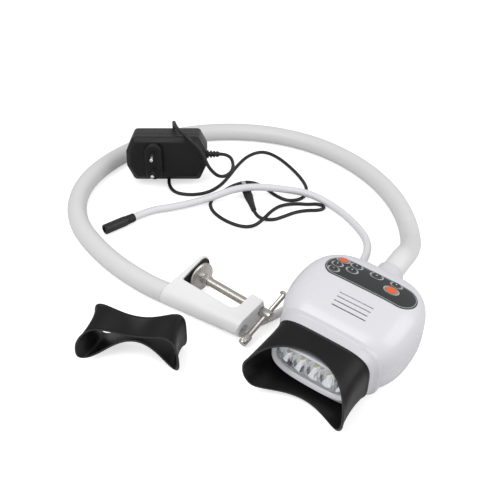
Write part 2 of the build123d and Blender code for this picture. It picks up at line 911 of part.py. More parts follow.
def adapter_board():
    inset = adapter_wall + adapter_bevel / 2 + loose_gap
    wide = adapter_half_top - inset
    length = adapter_height - inset * 2
    low = adapter_wall + loose_gap
    plate = Pos(0, low + board_thickness / 2, adapter_height / 2)
    board = plate * Box(wide * 2, board_thickness, length)
    core = Pos(-wide / 3, low + board_thickness + adapter_board_height / 2, adapter_height / 2)
    board += core * Box(wide * adapter_part_share, adapter_board_height, length * adapter_part_share)
    can = Vector(wide / 2, low + board_thickness, adapter_height / 2)
    return board + cylinder_between(can, can + Vector(0, adapter_board_height, 0), wide / 5)


relief_start = Vector(adapter_half_width, adapter_depth / 2, adapter_height / 2)


def strain_relief():
    """Ribbed sleeve where the lead leaves the adapter."""
    pitch = relief_length / relief_ribs
    core = extrude_x(Circle(relief_radius * relief_core_share), relief_length)
    for index in range(relief_ribs):
        rib_radius = relief_radius * (1 - index * relief_taper_share)
        core += Pos(index * pitch, 0, 0) * extrude_x(Circle(rib_radius), pitch * relief_rib_share)
    return Pos(*relief_start) * core


def wire_points():
    exit_point = at(adapter_plane, relief_start.X + relief_length, relief_start.Y, relief_start.Z)
    direction = along(adapter_plane, 1, 0, 0)
    rear = Vector(*plug_rear)
    last = rear - unit(plug_direction) * wire_last_run
    return [exit_point, exit_point + direction * wire_first_run, *wire_route, last, rear]


def plug_body():
    direction = unit(plug_direction)
    rear = Vector(*plug_rear)
    front = rear + direction * plug_length
    grip = front - direction * plug_grip_length
    cone = cone_between(rear, grip, plug_rear_radius, plug_radius)
    return cone + cylinder_between(grip, front, plug_radius)


def plug_barrel():
    direction = unit(plug_direction)
    front = Vector(*plug_rear) + direction * plug_length
    barrel = cylinder_between(front, front + direction * barrel_length, barrel_radius)
    return barrel - cylinder_between(front, front + direction * barrel_length, barrel_bore_radius)


def cord_tube(name, points, diameter):
    """A lead's tube, with its length, its arcs and its volume printed for checking."""
    path = rounded_path(points)
    tube = swept(path, diameter / 2)
    radii = [edge.radius for edge in path.edges().filter_by(GeomType.CIRCLE)]
    section = math.pi * diameter * diameter / 4
    runs = [(Vector(*a) - Vector(*b)).length for a, b in zip(points[1:], points)]
    print(name, "length", round(path.length, 1), "least radius", round(min(radii), 1))
    print(name, "radii", [round(radius, 1) for radius in radii])
    print(name, "runs", [round(run, 1) for run in runs])
    print(name, "volume over section times length", round(tube.volume / section / path.length, 4))
    return tube


def solids_of(made):
    pieces = made if isinstance(made, list) else [made]
    found = []
    for piece in pieces:
        found.extend(piece.solids())
    return found


def build_nodes():
    nodes = {
        "clamp_frame": clamp_frame(),
        "jaw_pad": jaw_pad(),
        "pressure_disc": pressure_disc(),
        "disc_nut": disc_nut(),
        "clamp_screw": clamp_screw(),
        "tommy_bar": tommy_bar(),
        "bar_end_knob": bar_end_knob(),
    }
    nodes.update(gooseneck())
    head_pieces = {
        "head_collar": head_collar(),
        "head_top_shell": head_top_shell(),
        "head_bottom_shell": head_bottom_shell(),
        "shell_screws": shell_screws(),
        "key_panel": key_panel(),
        "control_board": control_board(),
        "tact_switches": tact_switches(),
        "head_nose": nose(),
        "light_window_ring": light_window_ring(),
        "window_lens": window_lens(),
        "light_reflector": reflector(),
        "led_board": led_board(),
        "lamp_chips": lamp_chips(),
        "heat_sink": heat_sink(),
        "mouth_shield": shield((0, 0, 0), rim_middle),
    }
    for name in key_places:
        head_pieces[name] = key(name)
    for name, made in head_pieces.items():
        nodes[name] = [head_plane * solid for solid in solids_of(made)]
    spare = Pos(0, (shield_rear + rim_wing) / 2, 0) * shield(spare_waist_shares, spare_rim_middle)
    nodes["spare_mouth_shield"] = spare_plane * spare
    adapter_pieces = {
        "adapter_front_shell": adapter_front_shell(),
        "adapter_back_shell": adapter_back_shell(),
        "adapter_plug_block": plug_block(),
        "mains_pins": mains_pins(),
        "adapter_board": adapter_board(),
        "adapter_strain_relief": strain_relief(),
    }
    for name, made in adapter_pieces.items():
        nodes[name] = [adapter_plane * solid for solid in solids_of(made)]
    nodes["lamp_lead"] = cord_tube("lamp_lead", lead_points(), lead_diameter)
    nodes["lead_socket"] = lead_socket()
    nodes["socket_contact"] = socket_contact()
    nodes["adapter_lead"] = cord_tube("adapter_lead", wire_points(), wire_diameter)
    nodes["plug_body"] = plug_body()
    nodes["plug_barrel"] = plug_barrel()
    return nodes


cord_nodes = ("lamp_lead", "lead_socket", "socket_contact", "adapter_lead", "plug_body", "plug_barrel")


def joint_places():
    """Each joint's pivot and axis on the table, before the origin is moved."""
    up = Vector(0, 0, 1)
    screw_axis = along(clamp_plane, 1, 0, 0)
    bar_origin = at(clamp_plane, bar_station, screw_offset, 0)
    bar_axis = (bar_frame() * Pos(0, 0, 1)).position - bar_frame().position
    head_up = along(head_plane, 0, 0, 1)

    def lift_axis(index):
        forward = plan_direction(arm_places[index][1])
        return Vector(forward.Y, -forward.X, 0)

    places = {
        "disc_slide": (at(clamp_plane, disc_face, screw_offset, 0), screw_axis),
        "screw_turn": (at(clamp_plane, screw_start, screw_offset, 0), screw_axis),
        "bar_slide": (bar_origin, bar_axis),
        "arm_swivel": (arm_start, spine),
        "arm_swing_left": (arm_places[1][0], up),
        "arm_lift_top": (arm_places[3][0], lift_axis(3)),
        "arm_swing_right": (arm_places[4][0], up),
        "arm_lift_end": (arm_places[5][0], lift_axis(5)),
        "head_nod": (arm_end, along(head_plane, -1, 0, 0)),
        "shield_pull": (head_plane.origin, along(head_plane, 0, -1, 0)),
    }
    for name, (x, y, *_) in key_places.items():
        places[name + "_press"] = (at(head_plane, x, y, head_top_at(x, y)), head_up * -1)
    return places


def main():
    os.makedirs("parts", exist_ok=True)
    nodes = build_nodes()
    boxes = [
        solid.bounding_box()
        for name, made in nodes.items()
        if name not in cord_nodes
        for solid in solids_of(made)
    ]
    low = Vector(*[min(getattr(box.min, side) for box in boxes) for side in "XYZ"])
    high = Vector(*[max(getattr(box.max, side) for box in boxes) for side in "XYZ"])
    origin = Vector((low.X + high.X) / 2, (low.Y + high.Y) / 2, low.Z)
    move = Location(origin * -1)
    for name, made in nodes.items():
        solids = [move * solid for solid in solids_of(made)]
        shape = solids[0] if len(solids) == 1 else Compound(children=solids)
        export_step(shape, f"parts/{name}.step")
    print("origin", *[round(value, 3) for value in origin])
    for name, (place, axis) in joint_places().items():
        spot = (place - origin) / 1000
        axis = axis.normalized()
        print("joint", name, *[round(v, 6) for v in spot], *[round(v, 6) for v in axis])


main()
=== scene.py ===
import logging
import math
from collections.abc import Mapping, Sequence
from dataclasses import dataclass
from enum import Enum
from functools import cache

import bmesh
import bpy
import numpy as np
from numpy.typing import NDArray
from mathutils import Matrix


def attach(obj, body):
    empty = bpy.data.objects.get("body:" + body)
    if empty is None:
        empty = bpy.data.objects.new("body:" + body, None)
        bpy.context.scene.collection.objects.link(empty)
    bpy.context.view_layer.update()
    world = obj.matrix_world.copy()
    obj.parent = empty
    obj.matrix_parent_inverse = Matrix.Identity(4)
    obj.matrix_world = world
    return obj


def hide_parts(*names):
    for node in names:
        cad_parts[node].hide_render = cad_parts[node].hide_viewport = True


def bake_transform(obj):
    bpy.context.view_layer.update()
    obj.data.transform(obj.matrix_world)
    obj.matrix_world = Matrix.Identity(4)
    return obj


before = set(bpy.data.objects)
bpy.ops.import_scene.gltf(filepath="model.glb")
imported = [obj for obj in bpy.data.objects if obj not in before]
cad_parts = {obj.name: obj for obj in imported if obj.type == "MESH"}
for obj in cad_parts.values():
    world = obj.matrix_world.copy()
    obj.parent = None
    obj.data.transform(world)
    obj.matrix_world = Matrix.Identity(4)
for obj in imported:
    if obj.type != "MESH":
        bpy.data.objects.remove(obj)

Array = NDArray[np.float64]
Point = tuple[float, float, float]
Profile = Array | Sequence[Sequence[float]]
log = logging.getLogger("whitening_lamp")

MM = 0.001
TABLE_ORIGIN = np.array((-11.089, -8.476, -0.01))
BLACK = (0.0, 0.0, 0.0, 1.0)
WHITE = (1.0, 1.0, 1.0, 1.0)
COAT_ROUGHNESS = 0.12
SWELL_SCALE = 60.0
SMEAR_SCALE = 45.0
SCRATCH_SCALE = 70.0
SCRATCH_LEVEL = 0.68
COPY_SHARP = 32.0
WALLED_SHARP = 50.0
NEAR_UPRIGHT = 0.9


class Side(Enum):
    """Which half of the lamp head a shell covers, as the angle where its section starts."""

    TOP = 0.0
    BOTTOM = math.pi


class Mark(Enum):
    """Plain sign printed on a key."""

    NONE = 0
    PLUS = 1
    MINUS = 2
    ARROW = 3
    BARS = 4
    DOT = 5


def to_frame(points: Array) -> Array:
    """Millimetres on the table turned into metres in the part's frame."""
    return (np.asarray(points, float) - TABLE_ORIGIN) * MM


def unit(vector: Array) -> Array:
    """The vector, or each row of vectors, at length one."""
    vector = np.asarray(vector, float)
    return vector / np.linalg.norm(vector, axis=-1, keepdims=True)


def ring_angles(count: int) -> Array:
    """Evenly spaced angles round a full turn."""
    return np.linspace(0.0, math.tau, count, endpoint=False)


def superellipse(angle: Array, power: float | Array) -> tuple[Array, Array]:
    """Across and up of a superellipse of half size one, in polar form.

    Its reach at an angle is |cos| to the power plus |sin| to the power, all to minus one over the power.

    Args:
        angle: angles in radians.
        power: two for an ellipse, more for squarer corners.

    Returns:
        The coordinates across and up at each angle.
    """
    across, up = np.cos(angle), np.sin(angle)
    reach = (np.abs(across) ** power + np.abs(up) ** power) ** (-1 / power)
    return reach * across, reach * up


@dataclass(frozen=True)
class Plane:
    """A place and two directions that a sub-assembly is drawn in, in table millimetres."""

    origin: Point
    x: Point
    z: Point

    def axes(self) -> Array:
        """The plane's directions, with y as z crossed with x.

        Returns:
            Rows of the x, y and z directions.
        """
        along = unit(np.array(self.x))
        up = unit(np.array(self.z))
        return np.stack([along, unit(np.cross(up, along)), up])

    def at(self, *local: float | Array) -> Array:
        """Local points as table points: the origin plus each coordinate along its axis."""
        return np.array(self.origin) + self.direction(*local)

    def direction(self, *local: float | Array) -> Array:
        """Local directions as table directions, from three coordinates or one array of rows."""
        rows = local[0] if len(local) == 1 else np.stack(np.broadcast_arrays(*local), axis=-1)
        return np.asarray(rows, float) @ self.axes()


CLAMP = Plane((-60.7, -74.6, 13.3), (0.743145, -0.669131, 0.0), (-0.139120, -0.154508, 0.978148))
HEAD = Plane((85.2, -155.5, 39.7), (0.81915, -0.56421, -0.10324), (-0.00525, -0.18736, 0.98228))
ADAPTER = Plane((-92.0, 118.0, 8.9), (1.0, 0.0, 0.0), (0.0, 0.139173, 0.990268))
SPARE = Plane((-98.9, -165.0, 18.6), (0.981627, -0.190344, -0.01331), (0.0, -0.069756, 0.997564))


class NodeBoard:
    """Adds and joins shader nodes in one tree."""

    def __init__(self, tree: bpy.types.NodeTree) -> None:
        """Keeps the tree that nodes are added to."""
        self.tree = tree

    def fill(self, node: bpy.types.Node, inputs: Mapping[str | int, object]) -> None:
        """Gives inputs their values.

        Args:
            node: the node whose inputs they are.
            inputs: for each input, an output to join to it, or a plain number, vector or colour.
        """
        for label, value in inputs.items():
            if isinstance(value, bpy.types.NodeSocket):
                self.tree.links.new(value, node.inputs[label])
            else:
                node.inputs[label].default_value = value

    def add(self, kind: str, inputs: Mapping[str | int, object] | None = None,
            **settings: object) -> bpy.types.Node:
        """Adds a node.

        Args:
            kind: the node's type name without its ShaderNode start.
            inputs: values for its inputs, as fill takes them.
            settings: attributes to set on the node, such as its operation.

        Returns:
            The new node.
        """
        node = self.tree.nodes.new("ShaderNode" + kind)
        for name, value in settings.items():
            setattr(node, name, value)
        self.fill(node, inputs or {})
        return node

    def math(self, operation: str, first: object, second: object) -> bpy.types.NodeSocket:
        """The output of a Math node on two sockets or numbers."""
        return self.add("Math", {0: first, 1: second}, operation=operation).outputs[0]

    def blend(self, factor: object, first: object, second: object) -> bpy.types.NodeSocket:
        """The result of a colour Mix node; each input is a socket or a plain value."""
        return self.add("Mix", {0: factor, 6: first, 7: second}, data_type="RGBA").outputs[2]

    def noise(self, vector: bpy.types.NodeSocket, scale: object, detail: float) -> bpy.types.NodeSocket:
        """The factor of a Noise texture on the vector."""
        return self.add("TexNoise", {"Vector": vector, "Scale": scale, "Detail": detail}).outputs["Fac"]

    def object_place(self) -> bpy.types.NodeSocket:
        """Object coordinates."""
        return self.add("TexCoord").outputs["Object"]


class GroupBoard(NodeBoard):
    """A new shader group with named inputs and one output."""

    def __init__(self, name: str, output: str, kind: str, **inputs: float | None) -> None:
        """Makes the group and its sockets.

        Args:
            name: the group's name.
            output: the name of its output.
            kind: what the output is: Color, Float or Vector.
            inputs: each input's default number, or None for a colour.
        """
        super().__init__(bpy.data.node_groups.new(name, "ShaderNodeTree"))
        for label, default in inputs.items():
            if default is None:
                self.tree.interface.new_socket(label, in_out="INPUT", socket_type="NodeSocketColor")
            else:
                number = self.tree.interface.new_socket(label, in_out="INPUT", socket_type="NodeSocketFloat")
                number.default_value = default
        self.tree.interface.new_socket(output, in_out="OUTPUT", socket_type="NodeSocket" + kind)
        self.inside = self.tree.nodes.new("NodeGroupInput").outputs
        self.outside = self.tree.nodes.new("NodeGroupOutput")

    def ending(self, value: bpy.types.NodeSocket) -> bpy.types.NodeTree:
        """Joins the value to the group's output and returns the finished group."""
        self.fill(self.outside, {0: value})
        return self.tree


@cache
def tone_drift_group() -> bpy.types.NodeTree:
    """Slow uneven tone: the colour darkens a little where a broad noise is high.

    Returns:
        The group, made once.
    """
    board = GroupBoard("tone_drift", "Colour", "Color", Colour=None, Scale=20.0, Amount=0.05)
    cloud = board.noise(board.object_place(), board.inside["Scale"], detail=3.0)
    share = board.math("MULTIPLY", cloud, board.inside["Amount"])
    return board.ending(board.blend(share, board.inside["Colour"], BLACK))


@cache
def fine_grain_group() -> bpy.types.NodeTree:
    """Moulded or sprayed grain: a bump of fine noise plus a share of a coarser swell.

    Returns:
        The group, made once.
    """
    board = GroupBoard("fine_grain", "Normal", "Vector", Scale=900.0, Depth=0.0001, Swell=0.0)
    spot = board.object_place()
    grain = board.noise(spot, board.inside["Scale"], detail=4.0)
    swell = board.math("MULTIPLY", board.noise(spot, SWELL_SCALE, detail=2.0), board.inside["Swell"])
    height = board.math("ADD", grain, swell)
    bump = board.add("Bump", {"Distance": board.inside["Depth"], "Height": height})
    return board.ending(bump.outputs["Normal"])


@cache
def handling_group() -> bpy.types.NodeTree:
    """Roughness after handling: the base value plus smears, with thin scratches across them.

    Returns:
        The group, made once.
    """
    board = GroupBoard("handling", "Roughness", "Float", Base=0.3, Spread=0.1, Scratch=0.0)
    spot = board.object_place()
    smear = board.math("SUBTRACT", board.noise(spot, SMEAR_SCALE, detail=5.0), 0.5)
    stretch = board.add("Mapping", {"Vector": spot, "Scale": (1.0, 14.0, 14.0), "Rotation": (0.3, 0.2, 0.7)})
    lines = board.noise(stretch.outputs["Vector"], SCRATCH_SCALE, detail=3.0)
    thin = board.math("GREATER_THAN", lines, SCRATCH_LEVEL)
    scratches = board.math("MULTIPLY", thin, board.inside["Scratch"])
    spread = board.math("MULTIPLY", smear, board.inside["Spread"])
    uneven = board.math("ADD", spread, scratches)
    return board.ending(board.math("ADD", board.inside["Base"], uneven))


@dataclass(frozen=True)
class Finish:
    """The finish of one kind of surface, made into a material once.

    Sizes of grain and depth of bump are in metres; scales are per metre.
    """

    name: str
    colour: Point
    roughness: float = 0.4
    metallic: float = 0.0
    coat: float = 0.0
    specular: float = 0.5
    drift: float = 0.05
    drift_scale: float = 18.0
    spread: float = 0.1
    scratch: float = 0.0
    grain_scale: float = 900.0
    grain_depth: float = 0.00004
    swell: float = 0.0

    @cache
    def material(self) -> bpy.types.Material:
        """The finish as a procedural material.

        Returns:
            The material, built on first use.
        """
        made = bpy.data.materials.new(self.name + "_look")
        made.use_nodes = True
        self.build(NodeBoard(made.node_tree), made.node_tree.nodes["Principled BSDF"])
        return made

    def own_colour(self, board: NodeBoard) -> object:
        """The colour before its drift: here one plain colour."""
        return (*self.colour, 1.0)

    def build(self, board: NodeBoard, shader: bpy.types.Node) -> None:
        """Joins drift, handling and grain to the shader and sets what is the same all over.

        Args:
            board: the material's nodes.
            shader: its Principled shader.
        """
        drift = {"Colour": self.own_colour(board), "Scale": self.drift_scale, "Amount": self.drift}
        wear = {"Base": self.roughness, "Spread": self.spread, "Scratch": self.scratch}
        grain = {"Scale": self.grain_scale, "Depth": self.grain_depth, "Swell": self.swell}
        effects = (("Base Color", tone_drift_group(), drift), ("Roughness", handling_group(), wear),
                   ("Normal", fine_grain_group(), grain))
        for label, group, inputs in effects:
            board.fill(shader, {label: board.add("Group", inputs, node_tree=group).outputs[0]})
        board.fill(shader, {"Metallic": self.metallic, "Specular IOR Level": self.specular,
                            "Coat Weight": self.coat, "Coat Roughness": COAT_ROUGHNESS})


@dataclass(frozen=True)
class BandedFinish(Finish):
    """A finish whose colour changes past a threshold of a float attribute on the piece."""

    attribute: str = "band"
    threshold: float = 0.5
    second: Point = (0.0, 0.0, 0.0)
    upper: float = 10.0

    def own_colour(self, board: NodeBoard) -> bpy.types.NodeSocket:
        """The second colour where the attribute lies between threshold and upper.

        Args:
            board: the material's nodes.

        Returns:
            The output that carries the colour.
        """
        read = board.add("Attribute", attribute_name=self.attribute).outputs["Fac"]
        above = board.math("GREATER_THAN", read, self.threshold)
        below = board.math("LESS_THAN", read, self.upper)
        return board.blend(board.math("MULTIPLY", above, below), (*self.colour, 1.0), (*self.second, 1.0))


@dataclass(frozen=True)
class GlassFinish(Finish):
    """Clear plastic: a plain transmitting shader with faint smears in its roughness."""

    def build(self, board: NodeBoard, shader: bpy.types.Node) -> None:
        """Sets transmission on the shader of the plain finish.

        Args:
            board: the material's nodes.
            shader: its Principled shader.
        """
        super().build(board, shader)
        board.fill(shader, {"Transmission Weight": 1.0, "IOR": 1.46})


SLEEVE = Finish("satin_sleeve", (0.70, 0.70, 0.70), 0.42, drift=0.03, grain_scale=1500, swell=0.6)
ENAMEL = Finish("white_enamel", (0.83, 0.825, 0.83), 0.30, coat=0.25, drift=0.05, grain_scale=420,
                grain_depth=0.00007, swell=1.4)
PAD = Finish("black_pad", (0.018, 0.018, 0.018), 0.62, specular=0.3, grain_scale=1400)
NICKEL = Finish("turned_nickel", (0.60, 0.57, 0.53), 0.27, metallic=1.0, drift=0.12, scratch=0.06,
                drift_scale=70, grain_scale=2400, grain_depth=0.000004)
BRIGHT = Finish("bright_plate", (0.72, 0.72, 0.72), 0.16, metallic=1.0, drift=0.06, scratch=0.08,
                grain_depth=0.000003)
COLLAR = Finish("collar_grey", (0.62, 0.62, 0.63), 0.40, drift=0.04, grain_scale=1500)
SHELL = Finish("lilac_gloss", (0.665, 0.66, 0.70), 0.27, coat=0.22, drift=0.02, spread=0.03,
               grain_scale=300, grain_depth=0.0000005)
NOSE = Finish("nose_gloss", (0.60, 0.60, 0.63), 0.28, coat=0.15, drift=0.03, spread=0.03,
              grain_scale=300, grain_depth=0.0000005)
FILM = BandedFinish("panel_film", (0.026, 0.028, 0.029), 0.30, coat=0.12, drift=0.1, grain_depth=0.00002,
                    attribute="edge_distance", threshold=1.0, upper=1.45, second=(0.42, 0.42, 0.44))
KEY_GREY = BandedFinish("key_grey", (0.018, 0.018, 0.02), 0.3, coat=0.3, attribute="radius_share",
                        threshold=0.92, upper=2.0, second=(0.10, 0.10, 0.11))
KEY_ORANGE = BandedFinish("key_orange", (0.72, 0.11, 0.025), 0.3, coat=0.3, attribute="radius_share",
                          threshold=0.94, upper=2.0, second=(0.36, 0.30, 0.28))
RING_PRINT = Finish("frame_print", (0.36, 0.37, 0.385), 0.35, coat=0.1, grain_depth=0.00001)
KEY_MARK = Finish("key_mark", (0.62, 0.63, 0.64), 0.4)
RING = Finish("window_white", (0.66, 0.655, 0.70), 0.26, coat=0.3, drift=0.02, grain_depth=0.00001)
CLEAR = GlassFinish("window_clear", (0.97, 0.985, 1.0), 0.03, spread=0.02, drift=0.0, grain_depth=0.0)
MIRROR = Finish("mirror_cups", (0.80, 0.80, 0.80), 0.16, metallic=1.0, drift=0.04, drift_scale=120,
                grain_depth=0.000008)
CHIP = Finish("lamp_chip", (0.86, 0.74, 0.30), 0.25, coat=0.6)
LAMP_BOARD = Finish("lamp_board", (0.80, 0.80, 0.74), 0.5)
SINK = Finish("sink_aluminium", (0.66, 0.66, 0.68), 0.38, metallic=1.0, scratch=0.1)
BOARD = Finish("board_green", (0.025, 0.13, 0.055), 0.35, coat=0.3, drift=0.2, drift_scale=200)
SWITCH = Finish("switch_black", (0.03, 0.03, 0.03), 0.45)
STEEL = Finish("screw_steel", (0.45, 0.45, 0.47), 0.3, metallic=1.0, scratch=0.1)
# Second colour: a lighter lip and rear edge, a painted highlight on the black rubber's rims
SHIELD = BandedFinish("shield_rubber", (0.006, 0.006, 0.0065), 0.40, specular=0.24, drift=0.35,
                      drift_scale=55, spread=0.22, grain_scale=1300, grain_depth=0.00005, swell=0.8,
                      threshold=0.4, second=(0.035, 0.035, 0.036))
SPARK = Finish("spark_black", (0.009, 0.009, 0.0095), 0.36, specular=0.28, drift=0.3, grain_scale=1700,
               grain_depth=0.00022)
PIN = Finish("pin_nickel", (0.70, 0.69, 0.67), 0.16, metallic=1.0, scratch=0.1, grain_depth=0.000003)
PIN_SLEEVE = Finish("pin_sleeve", (0.012, 0.012, 0.012), 0.4)
LEAD_WHITE = Finish("lead_white", (0.72, 0.72, 0.735), 0.42, drift=0.04, grain_scale=1600)
LEAD_BLACK = Finish("lead_black", (0.012, 0.012, 0.013), 0.40, specular=0.4, grain_scale=1600)
PLUG_BLACK = Finish("plug_black", (0.016, 0.016, 0.017), 0.44, specular=0.4, grain_scale=1500)
BRASS = Finish("contact_brass", (0.72, 0.56, 0.26), 0.25, metallic=1.0)


def grid_quads(rows: int, columns: int, wrap: bool = True, wrap_rows: bool = False) -> Array:
    """Corner numbers of the quads between the rows and columns of a grid of points.

    Args:
        rows: points along the first parameter.
        columns: points along the second parameter.
        wrap: whether the last column joins the first.
        wrap_rows: whether the last row joins the first.

    Returns:
        One row of four point numbers for each quad.
    """
    high = np.arange(rows if wrap_rows else rows - 1)
    wide = np.arange(columns if wrap else columns - 1)
    row, column = (part.ravel() for part in np.meshgrid(high, wide, indexing="ij"))
    near, far = row * columns, (row + 1) % rows * columns
    beside = (column + 1) % columns
    return np.stack([near + column, near + beside, far + beside, far + column], axis=-1)


def mesh_from_arrays(name: str, points: Array, quads: Array) -> bpy.types.Mesh:
    """A mesh whose corners are the points, placed in the part's frame.

    Args:
        name: the mesh's name.
        points: table points in millimetres.
        quads: rows of four point numbers.

    Returns:
        The new mesh.
    """
    mesh = bpy.data.meshes.new(name)
    placed = to_frame(points.reshape(-1, 3)).astype(np.float32)
    mesh.vertices.add(len(placed))
    mesh.vertices.foreach_set("co", placed.ravel())
    mesh.loops.add(quads.size)
    mesh.loops.foreach_set("vertex_index", quads.astype(np.int32).ravel())
    mesh.polygons.add(len(quads))
    mesh.polygons.foreach_set("loop_start", np.arange(0, quads.size, 4, dtype=np.int32))
    mesh.update(calc_edges=True)
    return mesh


def keep_values(mesh: bpy.types.Mesh, attribute: str, values: Array) -> None:
    """Keeps a value for each point, as a float attribute that a banded finish reads."""
    layer = mesh.attributes.new(attribute, "FLOAT", "POINT")
    layer.data.foreach_set("value", values.astype(np.float32).ravel())


def tidy_mesh(mesh: bpy.types.Mesh, closed: bool, sharp: float) -> None:
    """Merges poles and seams, turns a closed shell's faces outwards and sets the shading.

    Args:
        mesh: the mesh to finish.
        closed: whether its faces enclose a volume.
        sharp: angle in degrees past which an edge stays sharp.
    """
    work = bmesh.new()
    work.from_mesh(mesh)
    bmesh.ops.remove_doubles(work, verts=work.verts, dist=1e-6)
    bmesh.ops.dissolve_degenerate(work, edges=work.edges, dist=1e-7)
    if closed:
        bmesh.ops.recalc_face_normals(work, faces=work.faces)
    work.to_mesh(mesh)
    work.free()
    mesh.shade_smooth()
    mesh.set_sharp_from_angle(angle=math.radians(sharp))


def linked(name: str, data: bpy.types.ID) -> bpy.types.Object:
    """Puts data in the scene.

    Args:
        name: the object's name.
        data: its mesh, curve, camera or light.

    Returns:
        The new object.
    """
    made = bpy.data.objects.new(name, data)
    bpy.context.scene.collection.objects.link(made)
    return made


def show(name: str, mesh: bpy.types.Mesh, finish: Finish) -> bpy.types.Object:
    """Puts a mesh in the scene as a piece with its finish.

    Args:
        name: the piece's name.
        mesh: its mesh.
        finish: the finish it gets.

    Returns:
        The new object, which still has to ride on a body.
    """
    mesh.materials.clear()
    mesh.materials.append(finish.material())
    log.info("made %s with %d faces", name, len(mesh.polygons))
    return linked(name, mesh)


def surface(name: str, points: Array, finish: Finish, wrap_rows: bool = False, sharp: float = 40.0,
            band: Array | None = None) -> bpy.types.Object:
    """A closed piece from a grid of table points whose columns run round and join.

    Args:
        name: the piece's name.
        points: rows by columns by three.
        finish: the finish it gets.
        wrap_rows: whether the rows run round and join too.
        sharp: angle in degrees past which an edge stays sharp.
        band: a value for each row, for a banded finish to read.

    Returns:
        The new object.
    """
    rows, columns = points.shape[:2]
    mesh = mesh_from_arrays(name, points, grid_quads(rows, columns, wrap_rows=wrap_rows))
    if band is not None:
        keep_values(mesh, finish.attribute, np.repeat(band, columns))
    tidy_mesh(mesh, True, sharp)
    return show(name, mesh, finish)


def walled(name: str, points: Array, quads: Array, finish: Finish, wall: float) -> bpy.types.Object:
    """An open skin from table points, given a wall on its inner side.

    Args:
        name: the piece's name.
        points: rows by columns by three.
        quads: rows of four point numbers.
        finish: the finish it gets.
        wall: its thickness in millimetres.

    Returns:
        The new object.
    """
    mesh = mesh_from_arrays(name, points, quads)
    tidy_mesh(mesh, False, WALLED_SHARP)
    return with_modifier(show(name, mesh, finish), "SOLIDIFY", thickness=wall * MM, offset=-1.0)


def turned(name: str, origin: Array, axis: Array, profile: Profile, finish: Finish, count: int = 96,
           sharp: float = 40.0) -> bpy.types.Object:
    """A turned piece: each profile point at its distance along the axis, carried round it.

    Args:
        name: the piece's name.
        origin: where the axis starts, in table millimetres.
        axis: its direction.
        profile: rows of distance along the axis and radius, or radius by row and angle.
        finish: the finish it gets.
        count: points round the axis.
        sharp: angle in degrees past which an edge stays sharp.

    Returns:
        The new object.
    """
    axis = unit(axis)
    helper = np.array((0.0, 0.0, 1.0)) if abs(axis[2]) < NEAR_UPRIGHT else np.array((1.0, 0.0, 0.0))
    side = unit(np.cross(axis, helper))
    angle = ring_angles(count)[:, None]
    spoke = np.cos(angle) * side + np.sin(angle) * np.cross(axis, side)
    rows = np.asarray(profile, float)
    points = np.asarray(origin) + rows[:, :1, None] * axis + rows[:, 1:, None] * spoke
    return surface(name, points, finish, sharp=sharp)


def with_modifier(piece: bpy.types.Object, kind: str, **settings: object) -> bpy.types.Object:
    """Adds a modifier.

    Args:
        piece: the piece that gets it.
        kind: the modifier's type.
        settings: its values.

    Returns:
        The same piece.
    """
    modifier = piece.modifiers.new(kind.lower(), kind)
    for name, value in settings.items():
        setattr(modifier, name, value)
    return piece


def merged_copy(node: str, name: str, finish: Finish, bevel: float = 0.0) -> bpy.types.Object:
    """A merged copy of a CAD node with smooth curves and, if asked, softened edges.

    Args:
        node: the node to copy.
        name: the piece's name.
        finish: the finish it gets.
        bevel: width of the softened edges in metres.

    Returns:
        The new object, which still has to ride on a body.
    """
    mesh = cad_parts[node].data.copy()
    work = bmesh.new()
    work.from_mesh(mesh)
    bmesh.ops.remove_doubles(work, verts=work.verts, dist=2e-6)
    if bevel:
        bmesh.ops.dissolve_limit(work, angle_limit=math.radians(1.0), verts=work.verts, edges=work.edges)
    work.to_mesh(mesh)
    work.free()
    mesh.shade_smooth()
    mesh.set_sharp_from_angle(angle=math.radians(COPY_SHARP))
    piece = show(name, mesh, finish)
    if bevel:
        with_modifier(piece, "BEVEL", width=bevel, segments=3, limit_method="ANGLE",
                      angle_limit=math.radians(30.0), harden_normals=True)
    return piece


def cast_copy(node: str, name: str, finish: Finish, voxel: float, passes: int) -> bpy.types.Object:
    """A CAD node as a casting: remeshed evenly and eased, so that all its edges are soft.

    Args:
        node: the node to copy.
        name: the piece's name.
        finish: the finish it gets.
        voxel: size of the even mesh in metres.
        passes: how often it is eased.

    Returns:
        The new object.
    """
    piece = merged_copy(node, name, finish)
    with_modifier(piece, "REMESH", mode="VOXEL", voxel_size=voxel)
    with_modifier(piece, "SMOOTH", factor=0.5, iterations=passes)
    depsgraph = bpy.context.evaluated_depsgraph_get()
    eased = bpy.data.meshes.new_from_object(piece.evaluated_get(depsgraph))
    piece.modifiers.clear()
    piece.data = eased
    eased.materials.clear()
    eased.materials.append(finish.material())
    eased.shade_smooth()
    return piece


def place(piece: bpy.types.Object, body: str, slot: str, *nodes: str) -> bpy.types.Object:
    """Rides a piece on a body and hides the CAD nodes that it stands for.

    Args:
        piece: the piece.
        body: the body it rides on.
        slot: the material slot it takes its finish from; not used.
        nodes: the CAD nodes that it hides.

    Returns:
        The same piece.
    """
    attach(piece, body)
    if nodes:
        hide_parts(*nodes)
    return piece


def dress(node: str, finish: Finish) -> None:
    """Gives a CAD node that stays its procedural finish.

    Args:
        node: the node.
        finish: the finish it gets.
    """
    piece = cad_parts[node]
    if not piece.material_slots:
        piece.data.materials.append(None)
    for slot in piece.material_slots:
        slot.material = finish.material()
    log.info("dressed %s", node)


